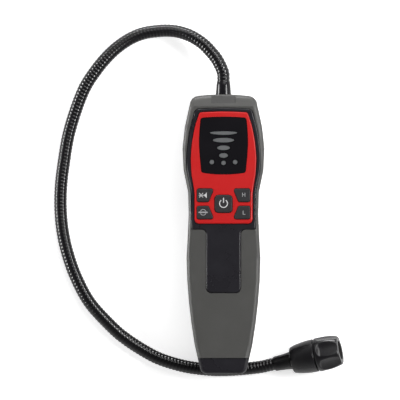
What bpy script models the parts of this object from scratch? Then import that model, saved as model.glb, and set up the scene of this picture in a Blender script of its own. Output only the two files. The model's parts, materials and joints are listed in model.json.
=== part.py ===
"""Hand-held combustible gas detector with a flexible neck, lying on its back.

Metres, +Z up. The back rests on z = 0 with the front face up, +Y runs from the tail to the neck,
and the origin is under the middle of the body. Every piece is one closed solid.
"""

import math

import bmesh
import bpy
from mathutils import Matrix, Vector

# General clearances and walls, and how far a cut runs past what it cuts
GAP = 0.0003
OVERSHOOT = 0.0010
HOLE_CORNER = 0.0010
GRIP_WALL = 0.0015
SHELL_WALL = 0.0018
SHELL_FRONT = 0.0015
SHELL_ROUND = 0.00126
REAR_WALL = 0.0026
REAR_FLOOR = 0.0020
GRIP_FRONT = 0.0016

# Battery bay, which sets the depth and width of the body
CELL_RADIUS = 0.00725
CELL_LENGTH = 0.0495
CELL_EDGE = 0.0005
CELL_NUB_RADIUS = 0.00275
CELL_NUB_LENGTH = 0.0010
HOLDER_WALL = 0.0012
CONTACT_THICK = 0.0008
CONTACT_REACH = 0.0051
SPRING_LENGTH = 0.0040
SPRING_RADIUS = 0.0034
SPRING_WIRE = 0.0004
SPRING_TURNS = 3
SPRING_STEPS = 7
DOOR_THICK = 0.0019
BAY_TOP_Y = 0.0052
LUG_LENGTH = 0.0062
LUG_HALF = 0.0036
LUG_HEIGHT = 0.0100
DOOR_HALF = 0.0154
DOOR_CORNER = 0.0020
DOOR_RIDGES = 4
DOOR_RIDGE_HALF = 0.0085
DOOR_RIDGE_PITCH = 0.0024
DOOR_RIDGE_DEPTH = 0.0006
DOOR_MARGIN = 0.0012
CELL_TUCK = 0.0075

HOLDER_INNER_HALF = 2 * CELL_RADIUS + GAP / 2 + GAP
HOLDER_HALF = HOLDER_INNER_HALF + HOLDER_WALL
BAY_INSIDE = CELL_LENGTH + CELL_NUB_LENGTH + SPRING_LENGTH + 2 * CONTACT_THICK + 5 * GAP
BAY_BOTTOM_Y = BAY_TOP_Y - BAY_INSIDE - 2 * HOLDER_WALL
DOOR_LOW_Y = BAY_BOTTOM_Y - LUG_LENGTH + GAP
DOOR_HIGH_Y = BAY_TOP_Y - HOLDER_WALL - CELL_TUCK
DOOR_TOP_Z = GAP + DOOR_THICK
TAPER_START_Y = DOOR_LOW_Y - DOOR_MARGIN
CELL_LOW_Z = GAP + DOOR_THICK + GAP + CELL_RADIUS
CELL_HIGH_Z = CELL_LOW_Z + 2 * CELL_RADIUS + GAP
CELL_X = CELL_RADIUS + GAP / 2
HOLDER_TOP_Z = CELL_HIGH_Z + CELL_RADIUS + GAP + HOLDER_WALL
SHELL_INNER_Z = HOLDER_TOP_Z + GAP
SHELL_OUTER_Z = SHELL_INNER_Z + SHELL_FRONT
FRONT_Z = SHELL_OUTER_Z + GAP + GRIP_FRONT
SPLIT_Z = 0.0180

# Body outline, seen from the front
TOP_Y = 0.0884
TAIL_LENGTH = 0.0283
TAIL_Y = DOOR_LOW_Y - TAIL_LENGTH
CROWN = 0.0009
FACE_CROWN = 0.0005
WAIST_ROOM = 0.00245
HANDLE_SWELL = 0.0012
HEAD_SWELL = 0.0039
SHOULDER_DRAW = 0.0043
TAIL_DRAW = 0.0085
WAIST_HALF = HOLDER_HALF + SHELL_WALL + GAP + GRIP_WALL + WAIST_ROOM
HANDLE_HALF = WAIST_HALF + HANDLE_SWELL
HEAD_HALF = WAIST_HALF + HEAD_SWELL
SHOULDER_HALF = HEAD_HALF - SHOULDER_DRAW
TAIL_HALF = HANDLE_HALF - TAIL_DRAW
TOP_CORNER = 0.0060
TAIL_CORNER = 0.0048
BODY_SIDE = (
    (TOP_Y, SHOULDER_HALF - 0.0014),
    (TOP_Y - 0.0085, SHOULDER_HALF),
    (TOP_Y - 0.0162, SHOULDER_HALF + 0.00175),
    (TOP_Y - 0.0263, HEAD_HALF - 0.0007),
    (TOP_Y - 0.0416, HEAD_HALF),
    (TOP_Y - 0.0517, HEAD_HALF - 0.0015),
    (0.0316, WAIST_HALF + 0.0008),
    (0.0214, WAIST_HALF),
    (0.0062, WAIST_HALF),
    (-0.0141, HANDLE_HALF),
    (TAIL_Y + 0.0543, HANDLE_HALF - 0.0007),
    (TAIL_Y + 0.0390, HANDLE_HALF - 0.00225),
    (TAIL_Y + 0.0238, TAIL_HALF + 0.00435),
    (TAIL_Y + 0.0085, TAIL_HALF + 0.0012),
    (TAIL_Y, TAIL_HALF - 0.0012),
)
TAIL_CAP_LENGTH = 0.0103
GRIP_END_Y = TAIL_Y + TAIL_CAP_LENGTH
TAPER_ANGLE = math.radians(22.5)
FRONT_ROUND = 0.0028
BACK_ROUND = 0.0034
TAIL_ROUND = 0.0024

# Face
RING_TOP_Y = 0.0797
RING_BOTTOM_Y = 0.0029
RING_CORNER = 0.0034
RING_FOOT_CORNER = 0.0010
RING_ROUND = 0.0008
HEAD_STRIP = 0.0026
WAIST_STRIP = 0.0018
RING_HALF = HEAD_HALF - HEAD_STRIP
RING_WAIST_HALF = WAIST_HALF - WAIST_STRIP
RING_SIDE = (
    (RING_TOP_Y, RING_HALF - 0.0056),
    (RING_TOP_Y - 0.0036, RING_HALF - 0.0048),
    (RING_TOP_Y - 0.0099, RING_HALF - 0.0032),
    (RING_TOP_Y - 0.0150, RING_HALF - 0.0020),
    (RING_TOP_Y - 0.0226, RING_HALF - 0.0009),
    (0.0480, RING_HALF),
    (0.0392, RING_HALF - 0.0005),
    (0.0341, RING_WAIST_HALF + 0.0015),
    (0.0291, RING_WAIST_HALF + 0.0004),
    (0.0240, RING_WAIST_HALF),
    (RING_BOTTOM_Y, RING_WAIST_HALF),
)
RING_RISE = 0.0003
PANEL_HALF = 0.0109
PANEL_BOTTOM_Y = -0.0374
PANEL_CORNER = 0.0032
PANEL_FILLET = 0.0030
PANEL_DROP = 0.0004
SLOPE_MARGIN = 0.0012
SLOPE_ANGLE = math.radians(16.0)
SLOPE_START_Y = RING_TOP_Y + SLOPE_MARGIN
RING_TOP_WIDTH = 0.0022
RING_HEAD_WIDTH = 0.0027
RING_WAIST_WIDTH = 0.0020
RING_BOTTOM_WIDTH = 0.0034
BEZEL_TOP_Y = RING_TOP_Y - RING_TOP_WIDTH
BEZEL_BOTTOM_Y = RING_BOTTOM_Y + RING_BOTTOM_WIDTH
BEZEL_CORNER = 0.0022
BEZEL_FOOT_CORNER = 0.0030
BEZEL_HALF = RING_HALF - RING_HEAD_WIDTH
BEZEL_WAIST_HALF = RING_WAIST_HALF - RING_WAIST_WIDTH
BEZEL_SIDE = (
    (BEZEL_TOP_Y, BEZEL_HALF - 0.0056),
    (BEZEL_TOP_Y - 0.0020, BEZEL_HALF - 0.0052),
    (BEZEL_TOP_Y - 0.0058, BEZEL_HALF - 0.0037),
    (BEZEL_TOP_Y - 0.0108, BEZEL_HALF - 0.0025),
    (BEZEL_TOP_Y - 0.0159, BEZEL_HALF - 0.0014),
    (BEZEL_TOP_Y - 0.0210, BEZEL_HALF - 0.0007),
    (0.0481, BEZEL_HALF),
    (0.0392, BEZEL_HALF - 0.0004),
    (0.0341, BEZEL_WAIST_HALF + 0.0014),
    (0.0291, BEZEL_WAIST_HALF + 0.0003),
    (0.0259, BEZEL_WAIST_HALF),
    (BEZEL_BOTTOM_Y, BEZEL_WAIST_HALF),
)
BEZEL_THICK = 0.0027
BEZEL_ROUND = 0.0010
WINDOW_FRAME_TOP = 0.0036
WINDOW_FRAME_SIDE = 0.0055
WINDOW_TOP_Y = BEZEL_TOP_Y - WINDOW_FRAME_TOP
WINDOW_HALF = BEZEL_HALF - WINDOW_FRAME_SIDE
WINDOW_CORNER = 0.0016
WINDOW_FOOT = 0.0009
WINDOW_DROP = 0.0002
PAD_HALF = 0.0076
PAD_START = 0.0022
PAD_DEPTH = 0.0006

# Indicators: width, height and centre of each
BAR_HEIGHT = 0.0029
BAR_1_WIDTH = 0.0174
BAR_2_WIDTH = 0.0135
BAR_3_WIDTH = 0.0081
BAR_4_WIDTH = 0.0055
BAR_1_DROP = 0.00975
BAR_PITCH = 0.00484
BAR_1_Y = WINDOW_TOP_Y - BAR_1_DROP
BARS = (
    (BAR_1_WIDTH, BAR_1_Y),
    (BAR_2_WIDTH, BAR_1_Y - BAR_PITCH),
    (BAR_3_WIDTH, BAR_1_Y - 2 * BAR_PITCH),
    (BAR_4_WIDTH, BAR_1_Y - 3 * BAR_PITCH),
)
DOT_RADIUS = 0.0014
DOT_X = 0.0074
DOT_DROP = 0.0047
DOT_RISE = 0.0005
DOT_Y = BAR_1_Y - 3 * BAR_PITCH - DOT_DROP
DOTS = ((0.0, DOT_Y), (-DOT_X, DOT_Y + DOT_RISE), (DOT_X, DOT_Y + DOT_RISE))
WINDOW_SILL = 0.00485
WINDOW_BOTTOM_Y = DOT_Y - DOT_RADIUS - WINDOW_SILL
WINDOW_SIDE = (
    (WINDOW_TOP_Y, WINDOW_HALF - 0.0011),
    (WINDOW_TOP_Y - 0.0076, WINDOW_HALF - 0.0004),
    (WINDOW_TOP_Y - 0.0147, WINDOW_HALF),
    (WINDOW_TOP_Y - 0.0236, WINDOW_HALF - 0.0004),
    (WINDOW_BOTTOM_Y, WINDOW_HALF - 0.0015),
)
BAR_FLAT = 0.50
PIPE_PROUD = 0.00005
PIPE_MARGIN = 0.0009
PIPE_HOLE_HALF = max(BAR_1_WIDTH / 2, DOT_X + DOT_RADIUS) + PIPE_MARGIN
PIPE_HOLE_LOW_Y = DOT_Y - DOT_RADIUS - PIPE_MARGIN
PIPE_HOLE_HIGH_Y = BAR_1_Y + BAR_HEIGHT / 2 + PIPE_MARGIN

# Keys
KEY_RISE = 0.0006
KEY_ROUND = 0.00048
KEY_TRAVEL = 0.0006
KEY_FLANGE = 0.0006
KEY_FLANGE_THICK = 0.0008
KEY_CORNER = 0.0012
POWER_CORNER = 0.0023
KEY_MARGIN = 0.0016
KEY_OUTER_X = BEZEL_WAIST_HALF - KEY_MARGIN
KEY_INNER_X = 0.0068
KEY_SLANT_X = 0.0095
POWER_HALF = 0.0056
POWER_KEY = ((-POWER_HALF, 0.0134), (POWER_HALF, 0.0134), (POWER_HALF, 0.0245), (-POWER_HALF, 0.0245))
UPPER_KEY = (
    (KEY_INNER_X, 0.0269),
    (KEY_SLANT_X, 0.0202),
    (KEY_OUTER_X, 0.0202),
    (KEY_OUTER_X, 0.0286),
    (KEY_INNER_X, 0.0286),
)
LOWER_KEY = (
    (KEY_INNER_X, 0.0093),
    (KEY_OUTER_X, 0.0093),
    (KEY_OUTER_X, 0.0176),
    (KEY_SLANT_X, 0.0176),
    (KEY_INNER_X, 0.0110),
)

FLANGE_LOW_Z = SHELL_INNER_Z - GAP - KEY_FLANGE_THICK
BEZEL_LOW_Z = SHELL_OUTER_Z + GAP
BEZEL_TOP_Z = BEZEL_LOW_Z + BEZEL_THICK

# Electronics
KEYPAD_MARGIN = 0.00035
KEYPAD_HALF = KEY_OUTER_X + KEY_FLANGE + KEYPAD_MARGIN
MEMBRANE_THICK = 0.0010
MEMBRANE_LOW_Y = 0.0082
MEMBRANE_HIGH_Y = 0.0301
BOARD_THICK = 0.0016
BOARD_CORNER = 0.0015
BOARD_LOW_Y = 0.0078
BOARD_HIGH_Y = 0.0735
BOARD_TOP_Z = FLANGE_LOW_Z - KEY_TRAVEL - GAP - MEMBRANE_THICK - GAP
POST_RADIUS = 0.0018
POST_X = 0.0155
POST_LOW_Y = 0.0333
POST_HIGH_Y = 0.0700
BUZZER_RADIUS = 0.0065
BUZZER_HEIGHT = 0.0050
BUZZER_PORT_RADIUS = 0.0012
BUZZER_PORT_DEPTH = 0.0010
BUZZER_Y = 0.0190
MOTOR_RADIUS = 0.0035
MOTOR_LENGTH = 0.0120
MOTOR_Y = 0.0660
WEIGHT_RADIUS = 0.0028
WEIGHT_LENGTH = 0.0035
SHAFT_RADIUS = 0.0006

# Screws
SCREW_RADIUS = 0.0013
SCREW_HEAD_RADIUS = 0.0026
SCREW_HEAD_HEIGHT = 0.0018
SCREW_GRIP = 0.0060
BOSS_RADIUS = 0.0040
SCREW_TOP_IN = 0.0074
SCREW_TOP_DROP = 0.0099
SCREW_TAIL_IN = 0.0059
SCREW_DOOR_SPACE = 0.0075
SCREW_TOP = (SHOULDER_HALF - SCREW_TOP_IN, TOP_Y - SCREW_TOP_DROP)
SCREW_TAIL = (TAIL_HALF - SCREW_TAIL_IN, DOOR_LOW_Y - SCREW_DOOR_SPACE)
SCREW_HEAD_Z = 0.0012
SCREW_SOCKET = 0.0013
DOOR_HEAD_Z = 0.0004
DOOR_HEAD_HEIGHT = 0.0009
DOOR_SCREW_LENGTH = 0.0080

# Neck and its boot
NECK_RADIUS = 0.0041
BOOT_LENGTH = 0.0086
BOOT_END_Y = TOP_Y + BOOT_LENGTH
BOOT_BASE_RADIUS = 0.0049
BOOT_END_RADIUS = 0.0042
BOOT_EDGE = 0.0005
BOOT_FLANGE_RADIUS = 0.0075
BOOT_FLANGE_THICK = 0.0030
NECK_LEAD = 0.0030
NECK_SLACK = 0.00009
NECK_RUN_IN = 0.0100
REST_GAP = 0.00005
LAID_Z = NECK_RADIUS + REST_GAP
# Points along the neck: x, y, and the height above where it lies on the surface
NECK_ROUTE = (
    (-0.0004, 0.1028, 0.0138),
    (-0.0025, 0.1078, 0.0130),
    (-0.0057, 0.1129, 0.0118),
    (-0.0124, 0.1202, 0.0099),
    (-0.0200, 0.1253, 0.0080),
    (-0.0276, 0.1281, 0.0062),
    (-0.0352, 0.1291, 0.0046),
    (-0.0429, 0.1287, 0.0031),
    (-0.0505, 0.1275, 0.0019),
    (-0.0581, 0.1246, 0.0010),
    (-0.0657, 0.1199, 0.0004),
    (-0.0733, 0.1132, 0.0001),
    (-0.0810, 0.1040, 0.0),
    (-0.0883, 0.0926, 0.0),
    (-0.0943, 0.0773, 0.0),
    (-0.0987, 0.0621, 0.0),
    (-0.1013, 0.0468, 0.0),
    (-0.1032, 0.0316, 0.0),
    (-0.1036, 0.0164, 0.0),
    (-0.1022, 0.0011, 0.0),
    (-0.0987, -0.0141, 0.0),
    (-0.0930, -0.0294, 0.0),
    (-0.0845, -0.0446, 0.0),
    (-0.0705, -0.0598, 0.0),
    (-0.0613, -0.0675, 0.0),
    (-0.0495, -0.0751, 0.0),
    (-0.0391, -0.0802, 0.0),
    (-0.0238, -0.0846, 0.0),
    (-0.0086, -0.0865, 0.0),
    (0.0010, -0.0867, 0.0),
    (0.0105, -0.0862, 0.0002),
)

# Sensor head, measured along its axis from the rear face
HEAD_X = 0.0436
HEAD_Y = -0.0805
HEAD_TURN = math.radians(12.0)
HEAD_TILT = math.radians(10.0)
SLEEVE_LENGTH = 0.0116
SLEEVE_REAR_RADIUS = 0.0047
SLEEVE_FRONT_RADIUS = 0.0056
SEAM_S = 0.0155
SEAM_WIDTH = 0.0009
HEAD_LENGTH = 0.0318
HOUSING_PROFILE = (
    (0.0000, 0.0076),
    (0.0009, 0.0084),
    (0.0035, 0.0092),
    (0.0068, 0.0098),
    (0.0105, 0.0103),
    (SEAM_S - 0.0003, 0.01045),
    (SEAM_S, 0.0102),
)
CAP_PROFILE = (
    (SEAM_S + SEAM_WIDTH, 0.0103),
    (SEAM_S + SEAM_WIDTH + 0.0004, 0.0106),
    (HEAD_LENGTH - 0.0113, 0.0109),
    (HEAD_LENGTH - 0.0078, 0.0109),
    (HEAD_LENGTH - 0.0043, 0.0104),
    (HEAD_LENGTH - 0.0012, 0.0095),
    (HEAD_LENGTH, 0.0086),
)
SPIGOT_RADIUS = 0.0086
SPIGOT_LENGTH = 0.0048
HEAD_BORE = 0.0072
HEAD_WALL = 0.0030
SEAL_DEPTH = 0.0008
SEAL_WIRE = 0.00045
FILTER_THICK = 0.0012
CAP_LIP = 0.0025
CAP_MOUTH = 0.0060
SENSOR_ROOM = 0.0045
CAN_EDGE = 0.0006
CAN_DISH = 0.0008
CAN_DISH_RADIUS = 0.0041
FLUTE_COUNT = 6
FLUTE_TURN = math.radians(43.0)
FLUTE_CURVE = 0.0200
FLUTE_END_ROUND = 0.0030
FLUTE_REAR_S = SEAM_S + 0.0019
FLUTE_REAR_RADIUS = 0.0098
FLUTE_FRONT_S = HEAD_LENGTH - 0.0012
FLUTE_FRONT_RADIUS = 0.0086

# Fineness of curves, and names of the collections
ROUND_STEPS = 32
SMALL_STEPS = 20
HOLE_STEPS = 12
FLUTE_STEPS = 80
SIDE_STEPS = 12
CROWN_STEPS = 3
SMALLEST_ROUND = 0.0006
PARTS = "gas_detector"
CUTTERS = "cutters"


def clear_scene():
    """Removes every object of the scene."""
    for obj in list(bpy.data.objects):
        bpy.data.objects.remove(obj, do_unlink=True)


def get_collection(name):
    """Returns the named collection, linked to the scene."""
    found = bpy.data.collections.get(name)
    if found is None:
        found = bpy.data.collections.new(name)
        bpy.context.scene.collection.children.link(found)
    return found


def make_material(name, color, roughness, metallic=0.0):
    """Returns a Principled material of one colour."""
    material = bpy.data.materials.new(name)
    material.use_nodes = True
    shader = material.node_tree.nodes["Principled BSDF"]
    shader.inputs["Base Color"].default_value = (*color, 1.0)
    shader.inputs["Roughness"].default_value = roughness
    shader.inputs["Metallic"].default_value = metallic
    return material


def make_materials():
    """Returns the part's materials by name."""
    return {
        "black": make_material("black_plastic", (0.020, 0.019, 0.022), 0.45),
        "grey": make_material("grey_rubber", (0.080, 0.079, 0.072), 0.70),
        "red": make_material("red_plastic", (0.560, 0.032, 0.028), 0.40),
        "window": make_material("window_black", (0.008, 0.008, 0.010), 0.10),
        "pipe": make_material("light_pipe", (0.160, 0.165, 0.175), 0.35),
        "key": make_material("key_rubber", (0.030, 0.030, 0.033), 0.60),
        "neck": make_material("neck_black", (0.016, 0.016, 0.019), 0.35),
        "head": make_material("head_black", (0.018, 0.017, 0.019), 0.40),
        "board": make_material("board_green", (0.020, 0.120, 0.050), 0.50),
        "metal": make_material("plated_steel", (0.600, 0.600, 0.580), 0.30, 1.0),
        "cell": make_material("cell_wrap", (0.120, 0.120, 0.130), 0.40),
        "white": make_material("filter_white", (0.700, 0.690, 0.660), 0.80),
    }


def smooth_through(points, steps):
    """Returns a Catmull-Rom curve through points, with steps points for each span."""
    vectors = [Vector(point) for point in points]
    first = vectors[0] * 2 - vectors[1]
    last = vectors[-1] * 2 - vectors[-2]
    padded = [first, *vectors, last]
    curve = []
    for index in range(1, len(padded) - 2):
        a, b, c, d = padded[index - 1:index + 3]
        for step in range(steps):
            t = step / steps
            curve.append(0.5 * (2 * b + (c - a) * t + (2 * a - 5 * b + 4 * c - d) * t ** 2
                                + (3 * b - a - 3 * c + d) * t ** 3))
    curve.append(vectors[-1])
    return curve


def half_width(stations, y):
    """Returns the half width that the stations give at a height y, as a smooth curve."""
    curve = smooth_through([(width, height) for height, width in stations], 6)
    for upper, lower in zip(curve, curve[1:]):
        if upper.y >= y >= lower.y:
            share = (upper.y - y) / max(upper.y - lower.y, 1e-9)
            return upper.x + share * (lower.x - upper.x)
    return curve[0].x if y > curve[0].y else curve[-1].x


def arc(center_x, center_y, radius, start, end, steps):
    """Returns the points of an arc, with angles in degrees."""
    points = []
    for step in range(steps + 1):
        angle = math.radians(start + (end - start) * step / steps)
        points.append((center_x + radius * math.cos(angle), center_y + radius * math.sin(angle)))
    return points


def half_outline(stations, top, bottom, top_corner, bottom_corner, offset,
                 crown=FACE_CROWN, steps=SIDE_STEPS):
    """Returns the right half of an outline, from the middle of its top to its lower corner."""
    top_r = max(top_corner + offset, SMALLEST_ROUND)
    bottom_r = max(bottom_corner + offset, SMALLEST_ROUND)
    side_top = top + offset - crown - top_r
    side_bottom = bottom - offset + bottom_r
    upper = half_width(stations, side_top) + offset
    lower = half_width(stations, side_bottom) + offset
    half = []
    for step in range(CROWN_STEPS):
        x = (upper - top_r) * step / CROWN_STEPS
        half.append((x, top + offset - crown * (x / (upper - top_r)) ** 2))
    half += arc(upper - top_r, side_top, top_r, 90, 0, 4)
    for step in range(1, steps):
        y = side_top + (side_bottom - side_top) * step / steps
        half.append((half_width(stations, y) + offset, y))
    return half + arc(lower - bottom_r, side_bottom, bottom_r, 0, -90, 4)


def mirrored_outline(half):
    """Returns the closed counter-clockwise outline whose right half is given from top to bottom."""
    points = half + [(-x, y) for x, y in reversed(half) if x > 1e-6]
    points.reverse()
    return points


def body_outline(offset):
    """Returns the body's outline, moved outwards by offset."""
    return mirrored_outline(half_outline(BODY_SIDE, TOP_Y, TAIL_Y, TOP_CORNER, TAIL_CORNER, offset, CROWN))


def surround_outline(offset):
    """Returns the outline of the black ring round the face and the centre panel that hangs from it."""
    half = half_outline(RING_SIDE, RING_TOP_Y, RING_BOTTOM_Y, RING_CORNER, RING_FOOT_CORNER, offset)
    fillet_x = PANEL_HALF + PANEL_FILLET
    half += arc(fillet_x, RING_BOTTOM_Y - PANEL_FILLET, PANEL_FILLET - offset, 90, 180, 4)
    corner_x, corner_y = PANEL_HALF - PANEL_CORNER, PANEL_BOTTOM_Y + PANEL_CORNER
    half += arc(corner_x, corner_y, PANEL_CORNER + offset, 0, -90, 4)
    return mirrored_outline(half)


def bezel_outline(offset):
    """Returns the outline of the red face plate."""
    return mirrored_outline(half_outline(BEZEL_SIDE, BEZEL_TOP_Y, BEZEL_BOTTOM_Y, BEZEL_CORNER,
                                         BEZEL_FOOT_CORNER, offset))


def window_outline(offset):
    """Returns the outline of the display window, whose lower edge bows down."""
    half = half_outline(WINDOW_SIDE, WINDOW_TOP_Y, WINDOW_BOTTOM_Y, WINDOW_CORNER, WINDOW_CORNER,
                        offset, steps=8)
    last_x, last_y = half[-1]
    for step in reversed(range(CROWN_STEPS)):
        share = step / CROWN_STEPS
        half.append((last_x * share, last_y - WINDOW_FOOT * (1 - share ** 2)))
    return mirrored_outline(half)


def rounded_polygon(corners, radius, offset=0.0, steps=3):
    """Returns a convex counter-clockwise polygon, moved outwards and with rounded corners."""
    lines = []
    count = len(corners)
    for index in range(count):
        start = Vector(corners[index])
        along = (Vector(corners[(index + 1) % count]) - start).normalized()
        outward = Vector((along.y, -along.x))
        lines.append((start + outward * offset, along))
    radius = max(radius + offset, SMALLEST_ROUND)
    points = []
    for index in range(count):
        start, along = lines[index - 1]
        other, leaving = lines[index]
        cross = along.x * leaving.y - along.y * leaving.x
        span = other - start
        corner = start + along * ((span.x * leaving.y - span.y * leaving.x) / cross)
        turn = math.acos(max(-1.0, min(1.0, along.dot(leaving))))
        reach = radius * math.tan(turn / 2)
        center = corner - along * reach + Vector((-along.y, along.x)) * radius
        begin = math.degrees(math.atan2(-along.x, along.y))
        points += arc(center.x, center.y, radius, begin, begin + math.degrees(turn), steps)
    return points


def rectangle(half, low, high):
    """Returns the corners of a rectangle that is centred on x = 0."""
    return ((-half, low), (half, low), (half, high), (-half, high))


def prism_mesh(points, low, high):
    """Returns a bmesh with the outline raised from low to high."""
    bm = bmesh.new()
    verts = [bm.verts.new((x, y, low)) for x, y in points]
    base = bm.faces.new(verts)
    raised = bmesh.ops.extrude_face_region(bm, geom=[base])
    moved = [item for item in raised["geom"] if isinstance(item, bmesh.types.BMVert)]
    bmesh.ops.translate(bm, verts=moved, vec=(0, 0, high - low))
    bmesh.ops.recalc_face_normals(bm, faces=bm.faces)
    return bm


def cut_away(bm, point, normal):
    """Removes what lies on the normal's side of a plane, and closes the cut."""
    geometry = [*bm.verts, *bm.edges, *bm.faces]
    cut = bmesh.ops.bisect_plane(bm, geom=geometry, plane_co=point, plane_no=normal, clear_outer=True)
    edges = [item for item in cut["geom_cut"] if isinstance(item, bmesh.types.BMEdge)]
    bmesh.ops.edgeloop_fill(bm, edges=edges)
    bmesh.ops.recalc_face_normals(bm, faces=bm.faces)


def round_edges(bm, width, segments, wanted):
    """Rounds the sharp edges that the test accepts."""
    edges = []
    for edge in bm.edges:
        if len(edge.link_faces) == 2 and edge.calc_face_angle() > math.radians(28) and wanted(edge):
            edges.append(edge)
    bmesh.ops.bevel(bm, geom=edges, offset=width, offset_type="OFFSET", segments=segments,
                    profile=0.5, affect="EDGES", clamp_overlap=True)


def at_height(z):
    """Returns a test for edges that lie at a height."""
    return lambda edge: all(abs(vert.co.z - z) < 1e-6 for vert in edge.verts)


def taper_plane(depth):
    """Returns a point and normal of the sloped back of the tail, at a depth inside the wall."""
    normal = Vector((0, -math.sin(TAPER_ANGLE), -math.cos(TAPER_ANGLE)))
    return Vector((0, TAPER_START_Y, 0)) - normal * depth, normal


def slope_plane(depth):
    """Returns a point and normal of the sloped top end, at a depth inside the skin."""
    normal = Vector((0, math.sin(SLOPE_ANGLE), math.cos(SLOPE_ANGLE)))
    return Vector((0, SLOPE_START_Y, FRONT_Z)) - normal * depth, normal


def on_plane(point, normal):
    """Returns a test for edges that lie in a plane."""
    return lambda edge: all(abs((vert.co - point).dot(normal)) < 1e-6 for vert in edge.verts)


def add_object(name, bm, material, collection=PARTS):
    """Makes an object from a bmesh."""
    mesh = bpy.data.meshes.new(name)
    bm.to_mesh(mesh)
    bm.free()
    obj = bpy.data.objects.new(name, mesh)
    get_collection(collection).objects.link(obj)
    if material is not None:
        mesh.materials.append(material)
        mesh.shade_smooth()
        mesh.set_sharp_from_angle(angle=math.radians(35))
    else:
        obj.hide_render = True
        obj.display_type = "WIRE"
    return obj


def cutter(name, bm):
    """Makes a hidden object that only cuts or joins."""
    return add_object(name, bm, None, CUTTERS)


def prism(name, points, low, high, material, collection=PARTS):
    """Makes an object with the outline raised from low to high."""
    return add_object(name, prism_mesh(points, low, high), material, collection)


def prism_cutter(name, points, low, high):
    """Makes a hidden prism that only cuts or joins."""
    return prism(name, points, low, high, None, CUTTERS)


def cylinder_mesh(radius, low, high, steps=HOLE_STEPS):
    """Returns a bmesh of a cylinder along Z."""
    bm = bmesh.new()
    place = Matrix.Translation((0, 0, (low + high) / 2))
    bmesh.ops.create_cone(bm, cap_ends=True, segments=steps, radius1=radius, radius2=radius,
                          depth=high - low, matrix=place)
    return bm


def cylinder_cutter(name, x, y, radius, low, high, steps=HOLE_STEPS):
    """Makes a hidden cylinder along Z at x and y."""
    obj = cutter(name, cylinder_mesh(radius, low, high, steps))
    obj.location = (x, y, 0)
    return obj


def combine(obj, other, operation):
    """Adds a Boolean modifier."""
    modifier = obj.modifiers.new(other.name, "BOOLEAN")
    modifier.operation = operation
    modifier.object = other
    modifier.solver = "EXACT"


def join(obj, other):
    """Joins another solid to the object."""
    combine(obj, other, "UNION")


def cut(obj, other):
    """Cuts another solid out of the object."""
    combine(obj, other, "DIFFERENCE")


def turned(name, profile, material, steps=ROUND_STEPS, closed=False):
    """Turns a profile about Z: radius and height pairs that run down the outside, top to bottom."""
    mesh = bpy.data.meshes.new(name)
    verts = [(radius, 0, height) for radius, height in profile]
    edges = [(index, index + 1) for index in range(len(verts) - 1)]
    if closed:
        edges.append((len(verts) - 1, 0))
    mesh.from_pydata(verts, edges, [])
    obj = bpy.data.objects.new(name, mesh)
    get_collection(PARTS).objects.link(obj)
    screw = obj.modifiers.new("turn", "SCREW")
    screw.steps = steps
    screw.render_steps = steps
    screw.use_merge_vertices = True
    screw.merge_threshold = 0.000001
    screw.use_smooth_shade = True
    mesh.materials.append(material)
    return obj


def tube(name, points, radius, material, resolution):
    """Makes a round tube along points."""
    curve = bpy.data.curves.new(name, "CURVE")
    curve.dimensions = "3D"
    curve.bevel_depth = radius
    curve.bevel_resolution = resolution
    curve.use_fill_caps = True
    spline = curve.splines.new("POLY")
    spline.points.add(len(points) - 1)
    for point, place in zip(spline.points, points):
        point.co = (*place, 1.0)
    obj = bpy.data.objects.new(name, curve)
    get_collection(PARTS).objects.link(obj)
    curve.materials.append(material)
    return obj


def box_mesh(low, high):
    """Returns a bmesh of a box between two corners."""
    bm = bmesh.new()
    low, high = Vector(low), Vector(high)
    size = high - low
    place = Matrix.Translation((low + high) / 2) @ Matrix.Diagonal((*size, 1.0))
    bmesh.ops.create_cube(bm, size=1.0, matrix=place)
    return bm


def box_cutter(name, low, high):
    """Makes a hidden box that only cuts or joins."""
    return cutter(name, box_mesh(low, high))


def boss_cutter(name, x, y, low, high):
    """Makes a hidden screw boss, trimmed to the sloped back of the tail."""
    bm = cylinder_mesh(BOSS_RADIUS, low, high, SMALL_STEPS)
    bmesh.ops.translate(bm, verts=bm.verts, vec=(x, y, 0))
    point, normal = taper_plane(REAR_FLOOR / 2)
    if min((point - vert.co).dot(normal) for vert in bm.verts) < 0:
        cut_away(bm, point, normal)
    return cutter(name, bm)


def screw_places():
    """Returns the place and head height of each housing screw."""
    places = []
    for x, y in (SCREW_TOP, SCREW_TAIL):
        rise = max(0.0, TAPER_START_Y - y) * math.tan(TAPER_ANGLE)
        for side in (-1, 1):
            places.append((side * x, y, SCREW_HEAD_Z + rise))
    return places


def boot_hole(name):
    """Makes the hidden cutter of the hole that the neck's boot passes through."""
    reach = BOOT_BASE_RADIUS + OVERSHOOT
    obj = cutter(name, cylinder_mesh(BOOT_BASE_RADIUS + GAP, -reach, reach, 24))
    obj.location = (0, TOP_Y, SPLIT_Z)
    obj.rotation_euler = (math.pi / 2, 0, 0)
    return obj


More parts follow.
